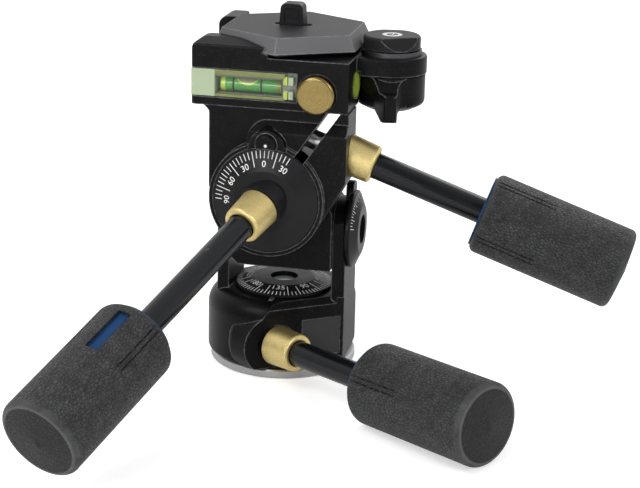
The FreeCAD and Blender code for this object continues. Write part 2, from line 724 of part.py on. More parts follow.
def tilt_block():
    top = TILT_HEIGHT + BLOCK_RISE
    part = front([(BLOCK_LEFT + BLOCK_BEVEL, BLOCK_BOTTOM), (BLOCK_RIGHT, BLOCK_BOTTOM, BLOCK_EDGE),
                  (BLOCK_RIGHT, top, BLOCK_BEVEL), (BLOCK_LEFT, top, BLOCK_BEVEL),
                  (BLOCK_LEFT, BLOCK_BOTTOM + BLOCK_BEVEL)], -BLOCK_HALF_DEPTH, BLOCK_HALF_DEPTH)
    hub = onto_y(disc(HUB_RADIUS, -BLOCK_HALF_DEPTH, BLOCK_HALF_DEPTH), 0)
    part = part.fuse(hub).removeSplitter()
    part = part.cut(rod(CROSS_SHAFT_RADIUS, V(BLOCK_LEFT, 0, TILT_HEIGHT), V(BLOCK_RIGHT, 0, TILT_HEIGHT)))
    return part.cut(onto_y(disc(SHANK_RADIUS, -BLOCK_HALF_DEPTH, BLOCK_HALF_DEPTH), 0))


def cross_shaft():
    shaft = rod(CROSS_SHAFT_RADIUS, V(SHAFT_LEFT, 0, TILT_HEIGHT), V(SHAFT_RIGHT, 0, TILT_HEIGHT))
    return shaft.cut(rod(CAP_SCREW_RADIUS, V(FORK_RIGHT, 0, TILT_HEIGHT), V(SHAFT_RIGHT, 0, TILT_HEIGHT)))


def left_cap():
    return rod(LEFT_CAP_RADIUS, V(LEFT_OUTER, 0, TILT_HEIGHT), V(SHAFT_LEFT, 0, TILT_HEIGHT))


def right_cap():
    """Domed scale cap on the cross shaft's right end, open for its screw."""
    part = turned([(CROSS_SHAFT_RADIUS, 0), (RIGHT_CAP_RADIUS, 0, 0.6),
                   (RIGHT_CAP_RADIUS, RIGHT_CAP_EDGE, 1.0), (RIGHT_CAP_FACE, RIGHT_CAP_LENGTH, 1.5),
                   (RIGHT_CAP_RECESS, RIGHT_CAP_LENGTH),
                   (RIGHT_CAP_RECESS, CAP_HOLLOW), (CROSS_SHAFT_RADIUS, CAP_HOLLOW)])
    return onto_x(part, RIGHT_OUTER + GAP)


def cap_screw():
    head_low = CAP_HOLLOW
    length = SHAFT_RIGHT - FORK_RIGHT
    head = disc(RIGHT_CAP_RECESS, head_low, head_low + CAP_SCREW_HEAD)
    head = head.fuse(disc(CAP_SCREW_RADIUS, head_low - length, head_low))
    return onto_x(head.cut(disc(SOCKET_RADIUS, head_low, head_low + CAP_SCREW_HEAD)), RIGHT_OUTER + GAP)


def trunnion():
    """Shaft of the side tilt: thick in the upper casting, thin through the block."""
    part = onto_y(disc(TRUNNION_RADIUS, BLOCK_HALF_DEPTH, -DIAL_BACK), 0)
    part = part.fuse(onto_y(disc(SHANK_RADIUS, -BLOCK_HALF_DEPTH - REAR_NUT_HEIGHT, BLOCK_HALF_DEPTH), 0))
    part = part.removeSplitter()
    for place in dial_screw_places():
        part = part.cut(rod(DIAL_SCREW_RADIUS, place, place + V(0, DIAL_SCREW_LENGTH, 0)))
    return part.cut(handle_seat("front"))


def side_washer():
    far = BLOCK_HALF_DEPTH + SIDE_WASHER_THICKNESS
    return onto_y(ring(SIDE_WASHER_RADIUS, TRUNNION_RADIUS, BLOCK_HALF_DEPTH, far), 0)


def rear_nut():
    low = -BLOCK_HALF_DEPTH - REAR_NUT_HEIGHT
    nut = hexagon(REAR_NUT_ACROSS_CORNERS, low, -BLOCK_HALF_DEPTH)
    return onto_y(nut.cut(disc(SHANK_RADIUS, low, -BLOCK_HALF_DEPTH)), 0)


def rear_cap():
    back = BLOCK_HALF_DEPTH + REAR_CAP_DEPTH
    hollow = REAR_CAP_RADIUS - REAR_CAP_WALL
    part = turned([(0, -back), (REAR_CAP_RADIUS, -back, REAR_CAP_WALL), (REAR_CAP_RADIUS, -BLOCK_HALF_DEPTH),
                   (hollow, -BLOCK_HALF_DEPTH), (hollow, REAR_CAP_WALL - back), (0, REAR_CAP_WALL - back)])
    return onto_y(part, 0)


def dial_screw_places():
    """Seats of the dial's screws, on the dial's face."""
    angles = (30, 150, 270)
    return [V(DIAL_SCREW_CIRCLE * math.cos(math.radians(a)), DIAL_FACE,
              SIDE_HEIGHT + DIAL_SCREW_CIRCLE * math.sin(math.radians(a))) for a in angles]


def front_dial():
    """Conical scale disc with the boss that carries the front handle."""
    back = -DIAL_BACK
    part = turned([(0, back), (DIAL_RADIUS, back), (DIAL_RADIUS, back + DIAL_RIM, 0.5),
                   (DIAL_FACE_RADIUS, -DIAL_FACE), (0, -DIAL_FACE)])
    part = onto_y(part, 0)
    boss = rod(DIAL_BOSS_RADIUS, handle_point("front", -FERRULE_LENGTH / 2), HANDLES["front"][0])
    boss = boss.cut(block(-DIAL_RADIUS, DIAL_RADIUS, DIAL_FACE, 0, 0, 2 * SIDE_HEIGHT))
    part = part.fuse(boss).removeSplitter()
    for place in dial_screw_places():
        part = part.cut(rod(DIAL_SCREW_RADIUS, place, place + V(0, DIAL_SCREW_LENGTH, 0)))
    return part.cut(handle_seat("front"))


def dial_screws():
    screws = []
    for place in dial_screw_places():
        screw = rod(DIAL_SCREW_RADIUS, place, place + V(0, DIAL_SCREW_LENGTH, 0))
        screws.append(screw)
    boss = rod(DIAL_BOSS_RADIUS, handle_point("front", -FERRULE_LENGTH / 2), HANDLES["front"][0])
    return Part.makeCompound([s.cut(boss) for s in screws])


# --- Upper casting ----------------------------------------------------------------
def ear_tangent():
    """Point where the line from the ear's lower corner touches the rim's circle."""
    dx = EAR_RIGHT
    dz = EAR_LOW - SIDE_HEIGHT
    away = math.hypot(dx, dz)
    angle = math.atan2(dz, dx) - math.acos(RIM_RADIUS / away)
    return RIM_RADIUS * math.cos(angle), SIDE_HEIGHT + RIM_RADIUS * math.sin(angle)


def front_plate():
    """Tear-drop plate about the dial, with the ear at its upper right."""
    touch_x, touch_z = ear_tangent()
    ear = front([(PLATE_START, PLATE_CROWN, PLATE_CORNER), (PLATE_START, SIDE_HEIGHT), (touch_x, touch_z),
                 (EAR_RIGHT, EAR_LOW, 4.0), (EAR_RIGHT, PLATE_CROWN, 1.5)], CASTING_FRONT, CASTING_BACK)
    disc_part = onto_y(disc(RIM_RADIUS, -CASTING_BACK, -CASTING_FRONT), 0)
    step = CASTING_FRONT + PLATE_STEP
    over = PLATE_CROWN + 1
    slope = side([(step, PLATE_CROWN), (step, over), (CASTING_FRONT - 1, over),
                  (CASTING_FRONT - 1, PLATE_CROWN - CROWN_BEVEL), (CASTING_FRONT, PLATE_CROWN - CROWN_BEVEL)],
                 PLATE_START - 1, EAR_RIGHT + 1)
    return softened(ear.fuse(disc_part).removeSplitter().cut(slope), CASTING_EDGE / 2,
                    lambda e: lies_at(e, 1, CASTING_FRONT))


def neck():
    """Upright block behind the front plate, its rear left edge cut back for the fork."""
    back = CASTING_FRONT + PLATE_STEP
    part = front([(NECK_LEFT, NECK_LOW, 3.0), (0, SIDE_HEIGHT), (EAR_RIGHT, EAR_LOW),
                  (EAR_RIGHT, PLATFORM_BOTTOM), (NECK_LEFT - NECK_FLARE, PLATFORM_BOTTOM),
                  (NECK_LEFT, PLATFORM_BOTTOM - NECK_FLARE, NECK_FLARE)], back, CASTING_BACK)
    far_left = NECK_LEFT - NECK_FLARE - 1
    relief = [(far_left, CASTING_BACK + 1), (far_left, CASTING_BACK - NECK_RELIEF_DEPTH),
              (NECK_LEFT, CASTING_BACK - NECK_RELIEF_DEPTH), (NECK_LEFT + NECK_RELIEF_WIDTH, CASTING_BACK),
              (NECK_LEFT + NECK_RELIEF_WIDTH, CASTING_BACK + 1)]
    return part.cut(plan(relief, 0, PLATFORM_BOTTOM))


def index_nose():
    """Cone that runs from the plate's upper left corner to the nose over the dial's zero."""
    root_x = PLATE_START + PLATE_CORNER
    root_z = PLATE_CROWN - PLATE_CORNER
    wires = []
    for x, z, y, radius in ((root_x, root_z, CASTING_FRONT + PLATE_STEP + 1, PLATE_CORNER - 0.7),
                            (NOSE_X, NOSE_Z, NOSE_FRONT, NOSE_RADIUS)):
        wires.append(Part.Wire([Part.makeCircle(radius, V(x, y, z), V(0, -1, 0))]))
    cone = softened(Part.makeLoft(wires, True, True), 1.0, lambda e: lies_at(e, 1, NOSE_FRONT))
    backing = rod(NOSE_BACKING_RADIUS, V(NOSE_X, NOSE_FRONT + NOSE_STEP, NOSE_Z - NOSE_BACKING_DROP),
                  V(NOSE_X, CASTING_FRONT + 1, NOSE_Z - NOSE_BACKING_DROP))
    return cone.fuse(softened(backing, 0.8, lambda e: lies_at(e, 1, NOSE_FRONT + NOSE_STEP)))


def slit():
    """Clamp slit from the bore to the casting's top."""
    lean = math.radians(SLIT_LEAN)
    reach = 2 * (PLATFORM_BOTTOM - SIDE_HEIGHT)
    cutter = block(-SLIT_WIDTH / 2, SLIT_WIDTH / 2, CASTING_FRONT - RIM_HEIGHT - 4, 0, -reach, 4)
    cutter.rotate(V(0, 0, 0), V(0, 1, 0), SLIT_LEAN)
    cutter.translate(V(SLIT_TOP_X, 0, PLATFORM_BOTTOM))
    foot_z = SIDE_HEIGHT + TRUNNION_RADIUS * math.cos(lean) / 2
    return cutter.common(block(0, 2 * EAR_RIGHT, 2 * CASTING_FRONT, 0, foot_z, 2 * PLATFORM_TOP))


def dot_hole():
    return rod(DOT_RADIUS, V(NOSE_X, NOSE_FRONT, NOSE_Z), V(NOSE_X, NOSE_FRONT + DOT_DEPTH, NOSE_Z))


def platform_screw_places():
    xs = (-PLATFORM_SCREW_X, PLATFORM_SCREW_X)
    return [V(x, PLATFORM_SCREW_Y, PLATFORM_BOTTOM - PLATFORM_SCREW_LENGTH / 2) for x in xs]


def platform_screws():
    length = V(0, 0, PLATFORM_SCREW_LENGTH)
    return Part.makeCompound([rod(PLATFORM_SCREW_RADIUS, p, p + length) for p in platform_screw_places()])


def upper_casting():
    part = front_plate().fuse(neck())
    rim = ring(RIM_RADIUS, RIM_RADIUS - RIM_WALL, -CASTING_FRONT - CASTING_EDGE, -CASTING_FRONT + RIM_HEIGHT)
    part = part.fuse(onto_y(rim, 0)).fuse(index_nose()).removeSplitter()
    part = part.cut(onto_y(disc(TRUNNION_RADIUS + RUNNING, -CASTING_BACK - 1, -CASTING_FRONT + 1), 0))
    part = part.cut(onto_y(disc(DIAL_RADIUS + GAP, -CASTING_FRONT, -2 * CASTING_FRONT), 0))
    part = part.cut(slit()).cut(dot_hole()).cut(handle_seat("side"))
    part = part.cut(button_bore(BUTTON_RADIUS + GAP, PLATFORM_FRONT, BUTTON_ROOM))
    for place in platform_screw_places():
        part = part.cut(rod(PLATFORM_SCREW_RADIUS, place, place + V(0, 0, PLATFORM_SCREW_LENGTH)))
    return part


def index_dot():
    return dot_hole()


# --- Platform ---------------------------------------------------------------------
def plate_pocket(extra):
    """Space of the camera plate, grown sideways by extra."""
    foot = PLATE_FOOT_RADIUS + extra
    low = hex_frustum(PLATE_SEAT_RADIUS + extra, foot, PLATFORM_TOP, PLATFORM_TOP + PLATE_LIP)
    high = hex_frustum(foot, PLATE_TOP_RADIUS + extra, PLATFORM_TOP + PLATE_LIP, PLATE_TOP)
    part = low.fuse(high).removeSplitter()
    part.translate(V(PLATE_X, PLATE_Y, 0))
    return part


def level_room():
    back = PLATFORM_FRONT + LEVEL_DEPTH
    return block(PLATFORM_LEFT, LEVEL_RIGHT, PLATFORM_FRONT, back, LEVEL_LOW, LEVEL_HIGH)


def button_bore(radius, front_y, depth):
    return rod(radius, V(BUTTON_X, front_y, BUTTON_Z), V(BUTTON_X, front_y + depth, BUTTON_Z))


BUTTON_ROOM = BUTTON_TRAVEL + 1.5    # depth of the button's pocket in the platform


def platform():
    outer = [(PLATFORM_LEFT, PLATFORM_FRONT, PLATFORM_CORNER / 2), (PLATFORM_RIGHT, PLATFORM_FRONT, 1.0),
             (PLATFORM_RIGHT, PLATFORM_BACK, PLATFORM_CORNER),
             (PLATFORM_LEFT, PLATFORM_BACK, PLATFORM_CORNER)]
    part = plan(outer, PLATFORM_BOTTOM, PLATFORM_TOP)
    ridge = JAW_TOP + JAW_RISE
    seen = front([(PLATFORM_LEFT, PLATFORM_TOP - 4), (JAW_END, PLATFORM_TOP - 4), (JAW_END, ridge, 4.5),
                  (PLATFORM_LEFT, ridge, 6.5)], PLATFORM_FRONT, PLATFORM_FRONT + JAW_DEPTH)
    jaw = side([(PLATFORM_FRONT, PLATFORM_TOP - 4), (PLATFORM_FRONT, JAW_TOP, 0.8),
                (PLATFORM_FRONT + JAW_RIDGE, ridge, 2.0), (PLATFORM_FRONT + JAW_DEPTH, ridge),
                (PLATFORM_FRONT + JAW_DEPTH, PLATFORM_TOP - 4)], PLATFORM_LEFT, JAW_END)
    jaw = jaw.common(seen).common(plan(outer, PLATFORM_BOTTOM, ridge))
    part = part.fuse(jaw).removeSplitter()
    lobe = block(PLATFORM_RIGHT - 4, PIVOT_X, -LOBE_RADIUS, LOBE_RADIUS, LOBE_BOTTOM, LOBE_TOP)
    tongue = disc(LOBE_RADIUS, LOBE_BOTTOM, LOBE_TOP)
    tongue.translate(V(PIVOT_X, 0, 0))
    part = part.fuse(softened(lobe.fuse(tongue).removeSplitter(), 1.2,
                              lambda e: lies_at(e, 2, LOBE_TOP) and e.BoundBox.XMax > PLATFORM_RIGHT))
    part = part.removeSplitter()
    part = part.cut(block(HUB_RELIEF, PLATFORM_RIGHT + 1, HUB_RELIEF_FRONT, PLATFORM_BACK,
                          PLATFORM_BOTTOM, LOBE_BOTTOM))
    lug = front([(PLATFORM_LEFT, PLATFORM_TOP - 4), (LUG_RIGHT, PLATFORM_TOP - 4),
                 (LUG_RIGHT, LUG_TOP, 1.0), (PLATFORM_LEFT, LUG_TOP, LUG_CORNER)], LUG_FRONT, LUG_BACK)
    part = part.fuse(lug.common(plan(outer, PLATFORM_BOTTOM, LUG_TOP))).removeSplitter()
    part = part.cut(plate_pocket(GAP)).cut(level_room())
    part = part.cut(button_bore(BUTTON_RADIUS + GAP, PLATFORM_FRONT, BUTTON_ROOM))
    part = part.cut(button_bore(STEM_RADIUS + RUNNING, PLATFORM_FRONT, STEM_LENGTH + BUTTON_TRAVEL + GAP))
    part = part.cut(side_level_room())
    well = disc(WELL_RADIUS, PLATFORM_TOP - WELL_DEPTH, PLATFORM_TOP)
    well.translate(V(PLATE_X, PLATE_Y, 0))
    part = part.cut(well)
    part = part.cut(pivot_bore(LOBE_BOTTOM, LOBE_TOP))
    for place in platform_screw_places():
        part = part.cut(rod(PLATFORM_SCREW_RADIUS, place, place + V(0, 0, PLATFORM_SCREW_LENGTH)))
    return part


def tube_axis():
    return PLATFORM_FRONT + LEVEL_DEPTH / 2, (LEVEL_LOW + LEVEL_HIGH) / 2 - TUBE_AXIS_DROP


def along_tube(radius, left, right):
    y, z = tube_axis()
    return rod(radius, V(left, y, z), V(right, y, z))


def level_bubble_shape():
    """Flattened bubble at the top of the tube."""
    y, z = tube_axis()
    drop = math.sqrt(BUBBLE_RADIUS ** 2 - (BUBBLE_RADIUS - 2) ** 2)
    ball = Part.makeSphere(BUBBLE_HALF_LENGTH)
    squash = FreeCAD.Matrix()
    squash.scale(V(1, drop / BUBBLE_HALF_LENGTH / 1.4, 0.35))
    ball = ball.transformGeometry(squash)
    ball.translate(V(BUBBLE_X, y, z + TUBE_RADIUS * 0.62))
    return ball


def level_block():
    edge = [(PLATFORM_FRONT, LEVEL_LOW, LEVEL_EDGE), (PLATFORM_FRONT + LEVEL_DEPTH, LEVEL_LOW),
            (PLATFORM_FRONT + LEVEL_DEPTH, LEVEL_HIGH), (PLATFORM_FRONT, LEVEL_HIGH, LEVEL_EDGE)]
    part = side(edge, PLATFORM_LEFT, LEVEL_RIGHT)
    return part.cut(along_tube(TUBE_RADIUS, TUBE_LEFT, TUBE_RIGHT))


def level_liquid():
    part = along_tube(TUBE_RADIUS, TUBE_LEFT, TUBE_RIGHT)
    return part.cut(level_bubble_shape())


def level_bubble():
    return level_bubble_shape().common(along_tube(TUBE_RADIUS, TUBE_LEFT, TUBE_RIGHT))


def side_level_room():
    return rod(SIDE_LEVEL_RADIUS, V(PLATFORM_RIGHT - SIDE_LEVEL_DEPTH, SIDE_LEVEL_Y, SIDE_LEVEL_Z),
               V(PLATFORM_RIGHT + 2, SIDE_LEVEL_Y, SIDE_LEVEL_Z))


def side_level(inner, outer, proud):
    face = SIDE_LEVEL_DEPTH + proud
    part = turned([(inner, 0), (outer, 0), (outer, face), (inner, face)])
    part.rotate(V(0, 0, 0), V(0, 1, 0), 90)
    part.translate(V(PLATFORM_RIGHT - SIDE_LEVEL_DEPTH, SIDE_LEVEL_Y, SIDE_LEVEL_Z))
    return part


def side_level_cup():
    return side_level(SIDE_LEVEL_RADIUS - CUP_WALL, SIDE_LEVEL_RADIUS, SIDE_LEVEL_PROUD)


def side_level_vial():
    return side_level(0, SIDE_LEVEL_RADIUS - CUP_WALL, SIDE_LEVEL_PROUD / 2)


# --- Safety button ----------------------------------------------------------------
def safety_button():
    """Brass button with a stem that runs in the platform."""
    deep = BUTTON_ROOM - BUTTON_TRAVEL - GAP
    part = turned([(0, -STEM_LENGTH), (STEM_RADIUS, -STEM_LENGTH), (STEM_RADIUS, -deep),
                   (BUTTON_RADIUS, -deep), (BUTTON_RADIUS, BUTTON_PROUD, BUTTON_CROWN), (0, BUTTON_PROUD)])
    part.rotate(V(0, 0, 0), V(1, 0, 0), 90)
    part.translate(V(BUTTON_X, PLATFORM_FRONT, BUTTON_Z))
    return part


def button_spring():
    """Flat coil between the button's back and the floor of its pocket."""
    deep = BUTTON_ROOM - BUTTON_TRAVEL - GAP
    low = deep + SLIDING
    high = BUTTON_ROOM - SLIDING
    mean = (STEM_RADIUS + BUTTON_RADIUS) / 2
    part = ring(mean + SPRING_WIRE / 2, mean - SPRING_WIRE / 2, -high, -low)
    part.rotate(V(0, 0, 0), V(1, 0, 0), 90)
    part.translate(V(BUTTON_X, PLATFORM_FRONT, BUTTON_Z))
    return part


# --- Camera plate -----------------------------------------------------------------
def slot_outline(extra):
    """Round-ended slot for the camera screw."""
    half = SLOT_WIDTH / 2 + extra
    return [(SLOT_LEFT - extra, SLOT_Y - half, half - 0.01), (SLOT_RIGHT + extra, SLOT_Y - half, half - 0.01),
            (SLOT_RIGHT + extra, SLOT_Y + half, half - 0.01), (SLOT_LEFT - extra, SLOT_Y + half, half - 0.01)]


def camera_plate():
    part = plate_pocket(0)
    part = part.cut(plan(slot_outline(0), PLATFORM_TOP, PLATE_TOP + 1))
    hollow = disc(PLATE_HOLLOW_RADIUS, PLATFORM_TOP, PLATE_TOP - PLATE_FLOOR)
    hollow.translate(V(PLATE_X, PLATE_Y, 0))
    return part.cut(hollow)


GUIDE_TOP = PLATE_TOP - PLATE_FLOOR - SLIDING
HEAD_TOP = GUIDE_TOP - GUIDE_THICKNESS - SLIDING


def screw_guide():
    """Thin washer that keeps the screw in the slot and slides along it."""
    part = ring(SCREW_HEAD_RADIUS, SCREW_RADIUS + RUNNING, GUIDE_TOP - GUIDE_THICKNESS, GUIDE_TOP)
    part.translate(V(SCREW_X, SLOT_Y, 0))
    return part


def camera_screw():
    part = disc(SCREW_HEAD_RADIUS, HEAD_TOP - SCREW_HEAD_HEIGHT, HEAD_TOP)
    part = part.fuse(disc(SCREW_RADIUS, HEAD_TOP, PLATE_TOP + SCREW_PROUD)).removeSplitter()
    part = part.cut(block(-SCREW_HEAD_RADIUS, SCREW_HEAD_RADIUS, -0.6, 0.6,
                          HEAD_TOP - SCREW_HEAD_HEIGHT, HEAD_TOP - SCREW_HEAD_HEIGHT / 2))
    part.translate(V(SCREW_X, SLOT_Y, 0))
    return part


def screw_cap():
    """Upright black guard over the screw's end, with a window in its front."""
    low = PLATE_TOP + SLIDING
    half = CAP_WIDTH / 2
    part = front([(-half, low), (half, low), (half - 0.7, low + CAP_HEIGHT, CAP_CORNER),
                  (0.7 - half, low + CAP_HEIGHT, CAP_CORNER)], -CAP_DEPTH / 2, CAP_DEPTH / 2)
    part = part.cut(disc(SCREW_RADIUS, low, PLATE_TOP + SCREW_PROUD))
    side_x = CAP_WINDOW / 2
    lintel = low + CAP_HEIGHT - 2.4
    window = front([(-side_x, low + 2), (side_x, low + 2), (side_x, lintel, 1.2), (-side_x, lintel, 1.2)],
                   -CAP_DEPTH / 2, -CAP_DEPTH / 2 + 0.7)
    part = part.cut(window)
    part.translate(V(SCREW_X, SLOT_Y, 0))
    return part


# --- Quick-release lever ----------------------------------------------------------
def pivot_bore(low, high):
    return Part.makeCylinder(PIVOT_RADIUS + RUNNING, high - low, V(PIVOT_X, 0, low))


def hub_touch(angle, radius):
    """Where a line from a point outside the lever's hub touches the hub."""
    away = math.copysign(math.acos(LEVER_HUB_RADIUS / radius), angle)
    touch = unit(angle + math.degrees(away)) * LEVER_HUB_RADIUS
    return touch.x, touch.y


def lever_arm():
    """Wedge that runs from the hub into the finger tip, its top sloping down."""
    half = TIP_WIDTH / 2
    left_radius = LEVER_HUB_RADIUS + WEDGE_OUT_LEFT
    right_radius = LEVER_HUB_RADIUS + WEDGE_OUT_RIGHT
    left = unit(-WEDGE_LEFT) * left_radius
    right = unit(WEDGE_RIGHT) * right_radius
    seen = plan([(0, -half), hub_touch(-WEDGE_LEFT, left_radius), (left.x, left.y, WEDGE_FILLET),
                 (TIP_REACH, -half, 1.5), (TIP_REACH, half, 2.0), (right.x, right.y, WEDGE_FILLET),
                 hub_touch(WEDGE_RIGHT, right_radius), (0, half)], TIP_BOTTOM, LEVER_TOP)
    low = LEVER_BOTTOM + LEVER_CHAMFER
    profile = [(0, low), (LEVER_HUB_RADIUS - 1, low), (TIP_REACH - 4, TIP_BOTTOM, 2.0),
               (TIP_REACH, TIP_BOTTOM, 1.5), (TIP_REACH, TIP_TOP, 1.5),
               (LEVER_HUB_RADIUS + 4.5, TIP_TOP, 1.5), (LEVER_HUB_RADIUS - 2, LEVER_TOP), (0, LEVER_TOP)]
    return seen.common(front(profile, -LEVER_HUB_RADIUS, LEVER_HUB_RADIUS))


def release_lever():
    """Hub under the lobe with a finger tip that stands out at the front."""
    part = turned([(0, LEVER_BOTTOM), (LEVER_NECK, LEVER_BOTTOM, 1.0),
                   (LEVER_HUB_RADIUS, LEVER_BOTTOM + LEVER_CHAMFER, 3.0), (LEVER_HUB_RADIUS, LEVER_TOP, 1.0),
                   (0, LEVER_TOP)])
    arm = lever_arm()
    arm.rotate(V(0, 0, 0), V(0, 0, 1), TIP_AZIMUTH)
    part = part.fuse(arm).removeSplitter()
    part = part.cut(disc(PIVOT_RADIUS, LEVER_BOTTOM, LEVER_TOP))
    part.translate(V(PIVOT_X, 0, 0))
    return part


def cam_washer():
    """Bright washer that lies on the lobe under the knob, with a flat beside the platform."""
    part = ring(CAM_WASHER_RADIUS, PIVOT_RADIUS + RUNNING, LOBE_TOP, CAM_BOTTOM - GAP)
    part.translate(V(PIVOT_X, 0, 0))
    return part.cut(block(0, PLATFORM_RIGHT + GAP, -PIVOT_X, PIVOT_X, LOBE_TOP, CAM_BOTTOM))


def release_cam():
    """Knob above the lobe: its round side holds the plate, its flat lets it go."""
    part = turned([(0, CAM_BOTTOM), (CAM_RADIUS, CAM_BOTTOM, 0.5), (CAM_RADIUS, CAM_TOP, 1.6), (0, CAM_TOP)])
    relief = block(CAM_RELIEF, 2 * CAM_RADIUS, -CAM_RADIUS, CAM_RADIUS, CAM_BOTTOM, CAM_TOP)
    relief.rotate(V(0, 0, 0), V(0, 0, 1), CAM_RELIEF_AZIMUTH)
    facet = block(0, 2 * CAM_RADIUS, -CAM_RADIUS, CAM_RADIUS, -CAM_RADIUS, CAM_RADIUS)
    facet.rotate(V(0, 0, 0), V(0, 1, 0), -CAM_FACET_TILT)
    facet.translate(V(CAM_RADIUS * 0.85, 0, (CAM_BOTTOM + CAM_TOP) / 2))
    facet.rotate(V(0, 0, 0), V(0, 0, 1), CAM_FACET_AZIMUTH)
    part = part.cut(relief).cut(facet)
    head = disc(PIVOT_HEAD_RADIUS, CAM_TOP - PIVOT_HEAD_DEPTH, CAM_TOP)
    part = part.cut(disc(PIVOT_RADIUS, CAM_BOTTOM, CAM_TOP)).cut(head)
    part.translate(V(PIVOT_X, 0, 0))
    return part


def pivot_screw():
    part = disc(PIVOT_RADIUS, LEVER_BOTTOM, CAM_TOP - PIVOT_HEAD_DEPTH)
    part = part.fuse(disc(PIVOT_HEAD_RADIUS, CAM_TOP - PIVOT_HEAD_DEPTH, CAM_TOP)).removeSplitter()
    part = part.cut(disc(SOCKET_RADIUS, CAM_TOP - PIVOT_HEAD_DEPTH, CAM_TOP))
    part.translate(V(PIVOT_X, 0, 0))
    return part


# --- Handles ----------------------------------------------------------------------
def handle_ferrule():
    return turned([(STUD_RADIUS, 0), (FERRULE_FOOT_RADIUS, 0, 0.8),
                   (FERRULE_TIP_RADIUS, FERRULE_LENGTH, FERRULE_BEVEL), (FERRULE_MOUTH, FERRULE_LENGTH),
                   (ROD_RADIUS, FERRULE_LENGTH - 1.5), (ROD_RADIUS, ROD_START), (STUD_RADIUS, ROD_START)])


def handle_stud(length):
    return disc(STUD_RADIUS, -length, ROD_START)


def handle_rod(near):
    return disc(ROD_RADIUS, ROD_START, near + GRIP_LENGTH - CORE_END)


def pad_shape(near, margin, outer):
    """Segment of a ring under the window, or the window itself."""
    half = WINDOW_WIDTH / 2 + margin
    low = near + WINDOW_START - margin
    high = near + WINDOW_START + WINDOW_LENGTH + margin
    return ring(outer, CORE_RADIUS, low, high).common(block(0, 2 * GRIP_RADIUS, -half, half, low, high))


def handle_core(near):
    """Coloured sleeve on the rod: a thin flange at the near end and the window's pad."""
    sleeve = ring(CORE_RADIUS, ROD_RADIUS, near - CORE_FLANGE, near + GRIP_LENGTH - CORE_END)
    flange = ring(CORE_FLANGE_RADIUS, ROD_RADIUS, near - CORE_FLANGE, near)
    return sleeve.fuse(flange).fuse(pad_shape(near, PAD_MARGIN, WINDOW_FLOOR)).removeSplitter()


def grip_grooves(near):
    """Pairs of fine cuts that run from the near end to the middle."""
    cuts = []
    for i in range(GROOVE_COUNT):
        for offset in (-GROOVE_SPACING / 2, GROOVE_SPACING / 2):
            cut = block(GRIP_RADIUS - GROOVE_DEPTH, GRIP_RADIUS + 1, offset - GROOVE_WIDTH / 2,
                        offset + GROOVE_WIDTH / 2, near, near + GROOVE_LENGTH)
            cut.rotate(V(0, 0, 0), V(0, 0, 1), 360 * (i + 0.5) / GROOVE_COUNT)
            cuts.append(cut)
    return Part.makeCompound(cuts)


def handle_grip(near):
    """Rubber grip with a slightly domed end, cut open over the coloured pad."""
    far = near + GRIP_LENGTH
    part = turned([(0, near), (GRIP_RADIUS, near, GRIP_NEAR_EDGE),
                   (GRIP_RADIUS, far - GRIP_DOME, GRIP_FAR_EDGE), (0, far)])
    part = part.cut(disc(CORE_RADIUS, near, far - CORE_END)).cut(pad_shape(near, PAD_MARGIN, WINDOW_FLOOR))
    half = WINDOW_WIDTH / 2
    low = near + WINDOW_START
    part = part.cut(block(WINDOW_FLOOR - 1, GRIP_RADIUS + 1, -half, half, low, low + WINDOW_LENGTH))
    return part.cut(grip_grooves(near))


def roll_pin():
    across = unit(PIN_TURN) * ROD_RADIUS
    along = V(0, 0, PIN_DISTANCE)
    return rod(PIN_RADIUS, along - across, along + across)


def handle_parts(name):
    """All pieces of one handle, made about Z and then carried to its axis."""
    foot, azimuth, rise, bare, stud, roll = HANDLES[name]
    near = FERRULE_LENGTH + bare
    bar = handle_rod(near)
    parts = {"ferrule": handle_ferrule(), "stud": handle_stud(stud), "rod": bar,
             "core": handle_core(near), "grip": handle_grip(near)}
    if bare > PINNED_LENGTH:
        parts["pin"] = roll_pin()
        parts["rod"] = bar.cut(parts["pin"])
    made = {}
    for piece, part in parts.items():
        part.rotate(V(0, 0, 0), V(0, 0, 1), roll)
        holder = Part.makeCompound([part])
        made[name + "_handle_" + piece] = placed(holder, foot, unit(azimuth, rise), V(0, 0, 1))
    return made


